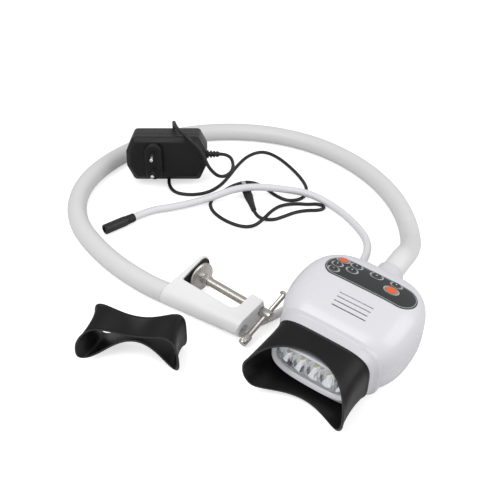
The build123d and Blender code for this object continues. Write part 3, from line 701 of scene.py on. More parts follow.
@dataclass
class Gooseneck:
    """The arm: one soft white sleeve, shown in five lengths that meet in the middles of its stretches."""

    radius: float = 10.0
    start: Point = (-6.5, -16.1, 0.0)
    heading: float = 146.5
    arc_radii: tuple[float, ...] = (285.8, 134.4, 159.7, 172.8, 219.2)
    arc_turns: tuple[float, ...] = (26.5, 54.7, 59.5, 50.1, 46.1)
    arc_points: int = 90
    rise: tuple[Point, ...] = ((160.5, -2.0, 12.5), (152.0, -36.0, 27.0), (142.5, -64.0, 41.0))
    rise_points: int = 160
    pivot: float = 70.0
    lead_in: float = 17.0
    tail: float = 61.0
    seam: float = 16.0
    seam_points: int = 24
    seam_draw: float = 0.55
    seam_fade: float = 0.6
    bend_reach: float = 34.0
    sides: int = 64

    def arc(self, start: Array, heading: float, radius: float, turn: float) -> Array:
        """A flat clockwise arc: points at even angles about a centre to the right of the start.

        Args:
            start: its first point.
            heading: its direction there, in degrees.
            radius: its radius.
            turn: how far it turns, in degrees.

        Returns:
            Rows of points.
        """
        right = heading - 90.0
        centre = start + radius * self.plan(right)
        return centre - radius * self.plan(right - np.linspace(0.0, turn, self.arc_points))

    @staticmethod
    def plan(degrees: float | Array) -> Array:
        """Flat direction, or rows of directions, at an angle in degrees."""
        turn = np.radians(degrees)
        return np.stack([np.cos(turn), np.sin(turn), np.zeros_like(turn)], axis=-1)

    @staticmethod
    def eased(points: Array, count: int) -> Array:
        """Quadratic B-spline, clamped at both ends: three points weighted at each place.

        Args:
            points: its control points.
            count: how many places it is worked out at.

        Returns:
            Rows of points along it.
        """
        knots = np.concatenate([[0, 0], np.arange(len(points) - 1), [len(points) - 2] * 2]).astype(float)
        at = np.linspace(0.0, knots[-1] - 1e-9, count)
        span = np.clip(np.floor(at).astype(int), 0, len(points) - 3)
        low, high = knots[span + 2], knots[span + 3]
        share = (at - low) / (high - low)
        first = (high - at) / (high - knots[span + 1]) * (1 - share)
        last = (at - low) / (knots[span + 4] - low) * share
        weights = np.stack([first, 1 - first - last, last], axis=1)
        picked = np.stack([points[span], points[span + 1], points[span + 2]], axis=1)
        return (weights[:, :, None] * picked).sum(axis=1)

    def stations(self) -> tuple[list[Array], list[Array], list[float]]:
        """The five arcs, each starting where the one before it ends.

        Returns:
            Points of each arc, the arcs' end points and their headings.
        """
        point = CLAMP.at(*self.start)
        point[2] = self.radius
        arcs: list[Array] = []
        ends, headings = [point], [self.heading]
        for radius, turn in zip(self.arc_radii, self.arc_turns):
            arcs.append(self.arc(ends[-1], headings[-1], radius, turn))
            ends.append(arcs[-1][-1])
            headings.append(headings[-1] - turn)
        return arcs, ends, headings

    def from_seam(self, arc: Array) -> Array:
        """Leaves the clamp square to its seam: a Hermite curve onto the first arc.

        Args:
            arc: the first arc's points.

        Returns:
            Points from the clamp to the arc's end.
        """
        start = CLAMP.at(*self.start)
        keep = arc[np.linalg.norm(arc - arc[0], axis=1) > self.seam]
        first = CLAMP.direction(-1, 0, 0) * self.seam
        last = unit(keep[1] - keep[0]) * self.seam
        t = np.linspace(0.0, 1.0, self.seam_points, endpoint=False)[:, None]
        joined = ((2 * t**3 - 3 * t**2 + 1) * start + (t**3 - 2 * t**2 + t) * first
                  + (3 * t**2 - 2 * t**3) * keep[0] + (t**3 - t**2) * last)
        return np.concatenate([joined, keep])

    def tube(self, path: Array, open_seam: bool) -> Array:
        """Rings of the sleeve's radius square to the path, closed at both ends by a point.

        Args:
            path: points along the middle of the sleeve.
            open_seam: whether it starts at the clamp, where it is drawn in.

        Returns:
            Rows of rings of points.
        """
        tangent = unit(np.gradient(path, axis=0))
        side = unit(np.cross(tangent, (0.0, 0.0, 1.0)))[:, None]
        up = np.cross(side[:, 0], tangent)[:, None]
        radius = np.full(len(path), self.radius)
        if open_seam:
            gone = np.linalg.norm(path - path[0], axis=1)
            radius -= self.seam_draw * np.exp(-gone / self.seam_fade)
        angle = ring_angles(self.sides)[None, :, None]
        rings = path[:, None] + radius[:, None, None] * (np.cos(angle) * side + np.sin(angle) * up)
        first, last = (np.repeat(end[None, None], self.sides, axis=1) for end in (path[0], path[-1]))
        return np.concatenate([first, rings, last])

    def build(self) -> None:
        """Makes the five sleeve lengths and hides the CAD lengths that they replace."""
        arcs, ends, headings = self.stations()
        pivot, lead, tail = (HEAD.at(0, station, 0)
                             for station in (self.pivot, self.pivot + self.lead_in, self.tail))
        rise = self.eased(np.array([ends[5], *self.rise, lead, pivot, tail]), self.rise_points)
        stretches = [np.concatenate([arcs[1][:-1], arcs[2]]), arcs[3], arcs[4], rise]
        firsts = [points[: len(points) // 2 + 1] for points in stretches]
        seconds = [self.from_seam(arcs[0]), *(points[len(points) // 2:] for points in stretches)]
        lengths = [np.concatenate([before[:-1], after]) for before, after in zip(seconds, firsts)]
        lengths.append(seconds[-1])
        parts = ("lower", "left", "top", "right", "end")
        for index, part in enumerate(parts):
            piece = surface(f"sleeve_{part}", self.tube(lengths[index], index == 0), SLEEVE, sharp=60.0)
            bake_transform(piece)
            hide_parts(f"gooseneck_{part}")


@dataclass
class ClampParts:
    """The table clamp, its pad, and the screw with its disc, nut and bar."""

    screw_offset: float = 17.5
    disc_at: float = 5.0
    disc_radius: float = 14.2
    disc_edge: float = 1.8
    disc_dome: float = 3.4
    screw_start: float = 7.25
    screw_end: float = 92.0
    screw_radius: float = 4.0
    screw_sides: int = 48
    thread_pitch: float = 1.25
    thread_depth: float = 0.13
    head_radius: float = 4.7
    head_length: float = 11.0
    bar_station: float = 86.5
    bar_turn: float = 8.0
    bar_radius: float = 2.3
    bar_low: float = -30.2
    bar_high: float = 23.8
    flange_radius: float = 4.6
    flange_height: float = 3.0
    knob_radius: float = 3.9
    knob_length: float = 10.0
    knob_sides: int = 240
    knurls: int = 30
    knurl_depth: float = 0.045
    knurl_low: float = 1.7
    knurl_high: float = 8.3
    casting_voxel: float = 0.0006
    casting_passes: int = 7
    softened_edge: float = 0.0004

    def axis_point(self, along: float) -> Array:
        """A point on the screw's axis."""
        return CLAMP.at(along, self.screw_offset, 0)

    def metal(self, name: str, origin: Array, axis: Array, profile: Profile, body: str, node: str,
              count: int = 96, sharp: float = 30.0) -> None:
        """Makes one of the turned nickel pieces.

        Args:
            name: the piece's name.
            origin: where its axis starts.
            axis: its direction.
            profile: its profile, as turned takes it.
            body: the body it rides on.
            node: the CAD node that it stands for.
            count: points round the axis.
            sharp: angle in degrees past which an edge stays sharp.
        """
        piece = turned(name, origin, axis, profile, NICKEL, count, sharp)
        place(piece, body, "screw_nickel", node)

    def disc(self) -> None:
        """Pressure disc: grooved face, rounded edge, domed back with a raised socket."""
        back = self.disc_edge + self.disc_dome
        radius, bore = self.disc_radius, self.screw_radius + 0.1
        rim = self.head_radius + 0.6
        face = [(0.0, 0.0), (0.0, radius * 0.55), (0.35, radius * 0.58), (0.35, radius * 0.86),
                (0.0, radius * 0.89), (0.0, radius - 0.5), (0.25, radius - 0.1), (0.8, radius),
                (1.4, radius - 0.1), (self.disc_edge, radius - 0.5)]
        dome = [(self.disc_edge + self.disc_dome * 0.8 * s**0.7, radius - 0.5 + (rim - radius + 0.5) * s)
                for s in np.linspace(0.0, 1.0, 22)[1:]]
        socket = [(back - 0.3, rim - 0.25), (back, rim - 0.8), (back, bore), (back - 3.0, bore),
                  (back - 3.0, 0.0)]
        self.metal("pressure_disc_turned", self.axis_point(self.disc_at), CLAMP.direction(1, 0, 0),
                   [*face, *dome, *socket], "disc", "pressure_disc")

    def screw(self) -> None:
        """Threaded shaft: the radius drops and rises with each pitch, shifted by the angle."""
        end, top, start = self.screw_end, self.head_radius, self.screw_start
        shaft_end = end - self.head_length
        along = np.arange(start, shaft_end, self.thread_pitch / 8)[:, None]
        phase = (along / self.thread_pitch - ring_angles(self.screw_sides) / math.tau) % 1.0
        valley = self.thread_depth * (1 - np.clip(np.abs(phase - 0.5) * 2.6 - 0.15, 0.0, 1.0))
        ends = np.clip(np.minimum(along - start, shaft_end - along) / 2.0, 0.0, 1.0)
        shaft = np.concatenate([along, self.screw_radius - valley * ends], axis=1)
        head = [(shaft_end, self.screw_radius), (shaft_end, top - 1.0), (shaft_end + 0.25, top - 0.3),
                (shaft_end + 0.9, top), (end - 1.5, top), (end - 0.7, top - 0.15), (end - 0.2, top - 0.7),
                (end, top - 1.5), (end, 0.0)]
        first, last = (np.array([[at, *[radius] * self.screw_sides] for at, radius in rows])
                       for rows in ([(start, 0.0)], head))
        self.metal("clamp_screw_threaded", self.axis_point(0.0), CLAMP.direction(1, 0, 0),
                   np.concatenate([first, shaft, last]), "screw", "clamp_screw", self.screw_sides, 28.0)

    def bar(self) -> None:
        """Tommy bar with a flange at one end; the knob's radius ripples with the angle."""
        turn = math.radians(90.0 - self.bar_turn)
        axis = CLAMP.direction(0.0, math.sin(turn), math.cos(turn))
        centre = self.axis_point(self.bar_station)
        flange, stem, high = self.flange_radius, self.bar_radius, self.bar_high
        top = high + self.flange_height
        profile = [(self.bar_low, 0.0), (self.bar_low, stem), (high - 1.6, stem), (high - 0.5, stem + 0.5),
                   (high, flange - 0.5), (high + 0.3, flange - 0.1), (high + 0.9, flange),
                   (top - 1.1, flange - 0.35), (top - 0.4, flange - 1.3), (top, flange - 2.6), (top, 0.0)]
        self.metal("tommy_bar_turned", centre, axis, profile, "bar", "tommy_bar")
        low = self.bar_low - self.knob_length / 2
        steps = np.array([0, 0, 0.03, 0.08, 0.12, 0.16, 0.2, 0.8, 0.84, 0.88, 0.92, 0.97, 1, 1])[:, None]
        share = np.array([0, 0.84, 0.95, 1, 1, 0.93, 1, 1, 0.93, 1, 1, 0.95, 0.84, 0])[:, None]
        along = low + self.knob_length * steps
        ripple = 0.5 + 0.5 * np.cos(ring_angles(self.knob_sides) * self.knurls)
        knurled = (along > low + self.knurl_low) & (along < low + self.knurl_high)
        knurl = 1 - self.knurl_depth * ripple * knurled
        profile = np.concatenate([along, self.knob_radius * share * knurl], axis=1)
        self.metal("bar_knob_knurled", centre, axis, profile, "bar", "bar_end_knob", self.knob_sides, 25.0)

    def build(self) -> None:
        """Makes all the clamp's pieces."""
        casting = cast_copy("clamp_frame", "clamp_casting", ENAMEL, self.casting_voxel, self.casting_passes)
        place(casting, "clamp", "clamp_paint", "clamp_frame")
        pad = merged_copy("jaw_pad", "jaw_pad_sheet", PAD, self.softened_edge)
        place(pad, "clamp", "pad_rubber", "jaw_pad")
        nut = merged_copy("disc_nut", "disc_nut_plated", BRIGHT, self.softened_edge)
        place(nut, "screw", "nut_chrome", "disc_nut")
        self.disc()
        self.screw()
        self.bar()


@dataclass(frozen=True)
class KeyPlace:
    """Where a key stands on the panel, its half sizes, its finish and its sign."""

    name: str
    x: float
    y: float
    half_long: float
    half_short: float
    finish: Finish
    mark: Mark


KEYS: tuple[KeyPlace, ...] = (
    KeyPlace("power_key", -27.6, 27.2, 4.6, 3.1, KEY_ORANGE, Mark.NONE),
    KeyPlace("mode_key", -29.0, 19.6, 3.7, 2.7, KEY_GREY, Mark.BARS),
    KeyPlace("timer_down_key", -28.6, 12.4, 3.9, 2.6, KEY_GREY, Mark.MINUS),
    KeyPlace("timer_up_key", -14.8, 27.0, 4.1, 2.8, KEY_GREY, Mark.PLUS),
    KeyPlace("level_key", -15.2, 19.6, 3.9, 2.8, KEY_GREY, Mark.DOT),
    KeyPlace("pause_key", 4.0, 26.8, 4.4, 3.0, KEY_GREY, Mark.BARS),
    KeyPlace("light_key", 22.0, 27.4, 3.8, 2.7, KEY_GREY, Mark.ARROW),
    KeyPlace("start_key", 21.6, 18.8, 5.2, 3.6, KEY_ORANGE, Mark.NONE),
)


def over_keys(spots: Array, margin: float) -> NDArray[np.bool_]:
    """Whether plan points lie in the openings of the keys: inside any key's ellipse.

    Args:
        spots: rows of across and along.
        margin: how much larger an opening is than its key.

    Returns:
        One truth value for each point.
    """
    inside = np.zeros(len(spots), bool)
    for key in KEYS:
        half = np.array((key.half_long, key.half_short)) + margin
        inside |= (((spots - (key.x, key.y)) / half) ** 2).sum(axis=1) < 1
    return inside


@dataclass
class LampHead:
    """The head's two shells, its collar and its nose."""

    half_width: float = 56.5
    half_length: float = 54.5
    half_height: float = 37.0
    length_power: float = 2.4
    top_power: float = 4.2
    bottom_power: float = 3.0
    front: float = 38.0
    wall: float = 2.5
    rows: int = 96
    least_gap: float = 0.05
    seam_angle: float = 0.04
    seam_steps: int = 9
    round_steps: int = 190
    vent_front: float = 19.6
    vent_pitch: float = 4.4
    vent_count: int = 4
    vent_half_width: float = 0.6
    vent_half_length: float = 15.5
    vent_shift: float = 4.0
    groove: float = 0.45
    groove_width: float = 0.4
    key_margin: float = 1.8
    nose_stations: tuple[float, ...] = (35.5, 38.3, 39.2, 42.0, 47.0, 54.0, 61.5)
    nose_widths: tuple[float, ...] = (44.6, 44.4, 43.6, 41.6, 39.4, 37.8, 37.0)
    nose_heights: tuple[float, ...] = (28.9, 28.8, 28.2, 27.4, 26.2, 24.2, 22.4)
    nose_rises: tuple[float, ...] = (0.0, 0.0, 0.1, 0.5, 1.0, 2.0, 3.0)
    nose_power: float = 4.0
    nose_rows: int = 60
    nose_sides: int = 224

    def scale(self, station: Array) -> Array:
        """How much a section shrinks towards the poles: the superellipse in plan."""
        share = np.clip(np.abs(station) / self.half_length, 0.0, 1.0)
        return (1 - share**self.length_power) ** (1 / self.length_power)

    def top(self, x: Array, y: Array) -> Array:
        """Height of the top over plan points: the superellipse of the section there.

        Args:
            x: across the head.
            y: along the head.

        Returns:
            The heights.
        """
        scale = self.scale(y)
        share = np.clip(np.abs(x) / (self.half_width * scale), 0.0, 1.0)
        return self.half_height * scale * (1 - share**self.top_power) ** (1 / self.top_power)

    def section(self, station: Array, angle: Array) -> Array:
        """Points of the body: a superellipse at each station, drawn in at the parting line.

        Args:
            station: places along the head.
            angle: angles round each section.

        Returns:
            Rows of sections of points.
        """
        across, up = superellipse(angle, np.where(np.sin(angle) > 0, self.top_power, self.bottom_power))
        scale = self.scale(station)[:, None]
        z = self.half_height * scale * up
        pull = 1 - self.groove / self.half_width * np.exp(-((z / self.groove_width) ** 2))
        x = self.half_width * scale * across * pull
        return np.stack(np.broadcast_arrays(x, station[:, None], z), axis=-1)

    def shell(self, side: Side) -> None:
        """Half of the body, given its wall; the top has its slots and key openings cut out.

        Args:
            side: which half.
        """
        turn = np.linspace(math.asin(-self.front / self.half_length), math.pi / 2, self.rows)
        vents = -self.vent_front + np.arange(self.vent_count) * self.vent_pitch
        edges = (vents[:, None] + self.vent_half_width * np.array((-1.4, -1, 1, 1.4))).ravel()
        stations = np.unique(np.concatenate([[-self.front], self.half_length * np.sin(turn), edges]))
        stations = stations[np.concatenate([[True], np.diff(stations) > self.least_gap])]
        close = np.linspace(0.0, self.seam_angle, self.seam_steps)
        between = np.linspace(self.seam_angle, math.pi - self.seam_angle, self.round_steps)[1:-1]
        angle = np.concatenate([close, between, math.pi - close[::-1]])
        points = self.section(stations, angle + side.value)
        quads = grid_quads(len(stations), len(angle), wrap=False)
        if side is Side.TOP:
            middle = points.reshape(-1, 3)[quads].mean(axis=1)
            near = np.abs(middle[:, 1, None] - vents).min(axis=1) < self.vent_half_width
            slots = near & (np.abs(middle[:, 0] - self.vent_shift) < self.vent_half_length)
            gone = slots | over_keys(middle[:, :2], self.key_margin)
            quads = quads[~(gone & (middle[:, 2] > 0))]
        half = side.name.lower()
        piece = walled(f"head_shell_{half}", HEAD.at(points), quads[:, ::-1], SHELL, self.wall)
        place(piece, "head", "head_plastic", f"head_{half}_shell")

    def collar(self) -> None:
        """Flared collar between the head and the sleeve, turned about the head's length."""
        profile = [(49.0, 0.0), (49.0, 15.2), (51.6, 15.0), (52.6, 14.5), (54.5, 13.6), (58.0, 12.8),
                   (62.0, 12.3), (65.3, 12.1), (66.2, 11.9), (66.7, 11.5), (66.6, 10.9), (66.0, 10.5),
                   (63.0, 10.3), (60.5, 10.2), (60.5, 0.0)]
        axis = HEAD.direction(0, 1, 0)
        piece = turned("head_collar_flared", HEAD.at(0, 0, 0), axis, profile, COLLAR, sharp=50.0)
        place(piece, "head", "collar_plastic", "head_collar")

    def nose(self) -> None:
        """Nose band: superellipse sections that shrink from the body to the window."""
        station = np.linspace(self.nose_stations[0], self.nose_stations[-1], self.nose_rows)
        wide, tall, rise = (np.interp(station, self.nose_stations, values)[:, None]
                            for values in (self.nose_widths, self.nose_heights, self.nose_rises))
        across, up = superellipse(ring_angles(self.nose_sides), self.nose_power)
        points = HEAD.at(wide * across, -station[:, None], rise + tall * up)
        quads = grid_quads(self.nose_rows, self.nose_sides)[:, ::-1]
        place(walled("head_nose_band", points, quads, NOSE, self.wall), "head", "nose_plastic", "head_nose")

    def build(self) -> None:
        """Makes the shells, collar and nose."""
        self.shell(Side.TOP)
        self.shell(Side.BOTTOM)
        self.collar()
        self.nose()


@dataclass
class KeyPanel:
    """The dark film on the head's top and the domed keys that come through it."""

    head: LampHead
    half_length: float = 41.5
    shift: float = 3.0
    front: float = 6.5
    rear: float = 31.5
    rise: float = 0.5
    thickness: float = 0.8
    edge_drop: float = 0.3
    edge_width: float = 0.5
    key_margin: float = 0.5
    frame_gap: float = 0.25
    frame_long: float = 1.9
    frame_short: float = 0.8
    rows: int = 61
    columns: int = 161
    sides: int = 72

    def film(self) -> None:
        """Film that follows the head: a slot-shaped grid laid on its top, eased at the edge."""
        radius, middle = (self.rear - self.front) / 2, (self.rear + self.front) / 2
        across, along = (np.sin(np.linspace(-math.pi / 2, math.pi / 2, count))
                         for count in (self.rows, self.columns))
        y = across[:, None] * radius
        straight = self.half_length - radius
        x = along * (straight + np.sqrt(np.clip(radius**2 - y**2, 0, None)))
        edge = radius - np.hypot(np.clip(np.abs(x) - straight, 0, None), y)
        height = self.rise - self.edge_drop * (1 - np.clip(edge / self.edge_width, 0, 1)) ** 2
        x, y = np.broadcast_arrays(x + self.shift, y + middle)
        points = HEAD.at(x, y, self.head.top(x, y) + height)
        quads = grid_quads(self.rows, self.columns, wrap=False)
        spots = np.stack([x, y], axis=-1).reshape(-1, 2)[quads].mean(axis=1)
        mesh = mesh_from_arrays("panel_film_sheet", points, quads[~over_keys(spots, self.key_margin)])
        keep_values(mesh, FILM.attribute, edge)
        mesh.shade_smooth()
        piece = show("panel_film_sheet", mesh, FILM)
        with_modifier(piece, "SOLIDIFY", thickness=self.thickness * MM, offset=-1.0)
        place(piece, "head", "panel_film", "key_panel")

    def on_top(self, x: Array, y: Array, height: Array) -> Array:
        """Table points at a height over the film."""
        return HEAD.at(x, y, self.head.top(x, y) + self.rise + height)

    def oval(self, key: KeyPlace, far: Array, wide: Array, height: Array) -> Array:
        """Oval rings round a key's middle, each at its height over the film.

        Args:
            key: the key.
            far: each ring's half length.
            wide: each ring's half width.
            height: each ring's height.

        Returns:
            Rows of rings of table points.
        """
        angle = ring_angles(self.sides)
        x = key.x + far[:, None] * np.cos(angle)
        return self.on_top(x, key.y + wide[:, None] * np.sin(angle), height[:, None])

    def printed_ring(self, key: KeyPlace) -> None:
        """Grey oval frame round a key: a low band that lies on the film.

        Args:
            key: the key that it goes round.
        """
        share = np.array([0.0, 0.0, 0.15, 0.85, 1.0, 1.0])
        height = np.array([0.0, 0.22, 0.3, 0.3, 0.22, 0.0])
        gap = self.frame_gap
        far = key.half_long + gap + (self.frame_long - gap) * share
        wide = key.half_short + gap + (self.frame_short - gap) * share
        rings = self.oval(key, far, wide, height)
        place(surface(key.name + "_frame", rings, RING_PRINT, wrap_rows=True), "head", "key_grey")

    def sign(self, mark: Mark) -> list[Array]:
        """Outlines of a sign, as shares of its key's half width.

        Args:
            mark: which sign.

        Returns:
            The corners of each of its bars, arrow or dot.
        """
        bar = np.array([(-1, -0.18), (1, -0.18), (1, 0.18), (-1, 0.18)]) * 0.34
        upright = bar[:, ::-1]
        turn = ring_angles(16)
        signs = {
            Mark.NONE: [],
            Mark.PLUS: [bar, upright],
            Mark.MINUS: [bar],
            Mark.ARROW: [np.array([(-0.26, -0.3), (0.34, 0.0), (-0.26, 0.3)])],
            Mark.BARS: [upright + (-0.14, 0.0), upright + (0.14, 0.0)],
            Mark.DOT: [0.22 * np.stack([np.cos(turn), np.sin(turn)], axis=1)],
        }
        return signs[mark]

    def key(self, key: KeyPlace) -> None:
        """Oval key: a raised rim, a shallow trough and a domed middle, laid on the film.

        Args:
            key: where it stands and what it looks like.
        """
        share = np.array([1, 1, 1, 0.985, 0.95, 0.90, 0.85, 0.80, 0.76, 0.72, 0.66, 0.56, 0.42, 0.25, 0])
        height = np.array([-3, 0.2, 0.75, 1.0, 1.17, 1.25, 1.24, 1.12, 0.98, 0.93, 0.98, 1.08, 1.17, 1.23,
                           1.25])
        rings = self.oval(key, key.half_long * share, key.half_short * share, height)
        foot = np.repeat(rings[:1].mean(axis=1, keepdims=True), self.sides, axis=1)
        piece = surface(key.name + "_cap", np.concatenate([foot, rings]), key.finish, sharp=60.0,
                        band=np.array([0.0, *share]))
        slot = "key_orange" if key.finish is KEY_ORANGE else "key_grey"
        place(piece, key.name, slot, key.name)
        for index, outline in enumerate(self.sign(key.mark)):
            self.print_sign(key, f"{key.name}_sign_{index + 1}", outline)

    def print_sign(self, key: KeyPlace, name: str, outline: Array) -> None:
        """A thin raised print: the outline at two heights, closed by a point over each.

        Args:
            key: the key that it is on.
            name: the piece's name.
            outline: its corners, as shares of the key's half width.
        """
        corner = np.array((key.x, key.y)) + outline * key.half_short
        centre = np.repeat(corner.mean(axis=0, keepdims=True), len(corner), axis=0)
        spots = np.stack([centre, corner, corner, centre])
        height = np.array([0.9, 0.9, 1.32, 1.36])[:, None]
        points = self.on_top(spots[..., 0], spots[..., 1], height)
        place(surface(name, points, KEY_MARK, sharp=20.0), key.name, "key_grey")

    def build(self) -> None:
        """Makes the film and every key."""
        self.film()
        for key in KEYS:
            self.key(key)
            self.printed_ring(key)


@dataclass
class LightWindow:
    """The white ring, the clear window, the mirror cups and the lamp chips behind it."""

    half_width: float = 36.0
    half_height: float = 18.6
    centre: float = 3.6
    power: float = 2.8
    ring_sides: int = 200
    ring_extra: float = 1.3
    ring_width: float = 3.2
    lens_back: float = 62.2
    lens_front: float = 64.0
    lens_dome: float = 0.5
    lens_inset: float = 2.3
    lens_sides: int = 128
    cup_inset: float = 3.4
    cup_rows: int = 70
    cup_sides: int = 420
    cup_back: float = 52.5
    cup_count: int = 5
    cup_pitch: float = 12.6
    cup_radius: float = 2.6
    cup_slope: float = 4.2
    cup_depth: float = 0.86
    cup_flare: float = 0.85
    cup_squeeze: float = 0.52
    cup_facets: int = 10
    chip_sides: int = 48

    def oval(self, shrink: Array | float, angle: Array) -> tuple[Array, Array]:
        """Superellipse of the window, drawn in by shrink.

        Args:
            shrink: how far it is drawn in.
            angle: angles round it.

        Returns:
            Across and up from the window's centre.
        """
        across, up = superellipse(angle, self.power)
        return (self.half_width - shrink) * across, (self.half_height - shrink) * up

    def ring(self) -> None:
        """Ring with rounded lips, thicker along its lower side."""
        loop = np.array([(0.0, 60.5), (-0.4, 63.0), (-0.7, 64.6), (-0.8, 65.6), (-0.4, 66.4), (0.4, 66.7),
                         (1.2, 66.5), (1.8, 65.9), (2.4, 65.0), (2.9, 63.9), (3.1, 62.6), (3.2, 60.5)])
        inward, forward = loop[:, :1], loop[:, 1:]
        angle = ring_angles(self.ring_sides)
        low = np.clip(-np.sin(angle), 0.0, 1.0)
        x, z = self.oval(inward * (1 + self.ring_extra / self.ring_width * low * (inward > 0.5)), angle)
        points = HEAD.at(x, -forward, self.centre + z)
        piece = surface("window_ring_rounded", points, RING, wrap_rows=True, sharp=50.0)
        place(piece, "head", "window_white", "light_window_ring")

    def lens(self) -> None:
        """Clear window: a plate with a slightly domed front."""
        share = np.array([0.0, 0.3, 0.6, 0.85, 1.0, 1.0, 0.5, 0.0])[:, None]
        x, z = self.oval(self.lens_inset, ring_angles(self.lens_sides))
        front = np.arange(len(share))[:, None] < 5
        dome = self.lens_front + self.lens_dome * (1 - share**2)
        points = HEAD.at(x * share, -np.where(front, dome, self.lens_back), self.centre + z * share)
        place(surface("window_lens_clear", points, CLEAR), "head", "window_clear", "window_lens")

    def cup_places(self) -> Array:
        """Centre of each cup across the window."""
        return (np.arange(self.cup_count) - (self.cup_count - 1) / 2) * self.cup_pitch

    def reflector(self) -> None:
        """Mirror plate: at each point the nearest cup's faceted cone, capped at the front plane."""
        share = np.linspace(0.0, 1.0, self.cup_rows)[:, None]
        x, z = (part * share for part in self.oval(self.cup_inset, ring_angles(self.cup_sides)))
        facet = ring_angles(self.cup_facets)
        reach = np.full(x.shape, np.inf)
        for cup in self.cup_places():
            cone = (x - cup)[..., None] * np.cos(facet) + (z * self.cup_squeeze)[..., None] * np.sin(facet)
            reach = np.minimum(reach, cone.max(axis=-1))
        rise = np.clip((reach - self.cup_radius) / self.cup_slope, 0.0, 1.0) ** self.cup_flare
        y = -(self.cup_back + (self.lens_back - self.cup_back) * self.cup_depth * rise)
        front = np.stack([x, y, self.centre + z], axis=-1)
        back = front[-1:].copy()
        back[..., 1] = -self.cup_back
        last = np.broadcast_to((0.0, 0.3 - self.cup_back, self.centre), back.shape)
        points = HEAD.at(np.concatenate([front, back, last]))
        piece = surface("mirror_cups_faceted", points, MIRROR, sharp=12.0)
        place(piece, "head", "reflector_chrome", "light_reflector")

    def chips(self) -> None:
        """Domed lamp chips, one in each cup."""
        profile = [(0.0, 0.0), (0.0, 2.4), (2.6, 2.4), (2.9, 2.2), (3.0, 2.0), (4.2, 1.8), (5.1, 1.3),
                   (5.6, 0.7), (5.8, 0.0)]
        forward = HEAD.direction(0, -1, 0)
        for index, x in enumerate(self.cup_places()):
            start = HEAD.at(x, -self.cup_back, self.centre)
            piece = turned(f"lamp_chip_{index + 1}", start, forward, profile, CHIP, self.chip_sides)
            place(piece, "head", "lamp_chip", "lamp_chips")

    def build(self) -> None:
        """Makes the ring, lens, cups and chips."""
        self.ring()
        self.lens()
        self.reflector()
        self.chips()


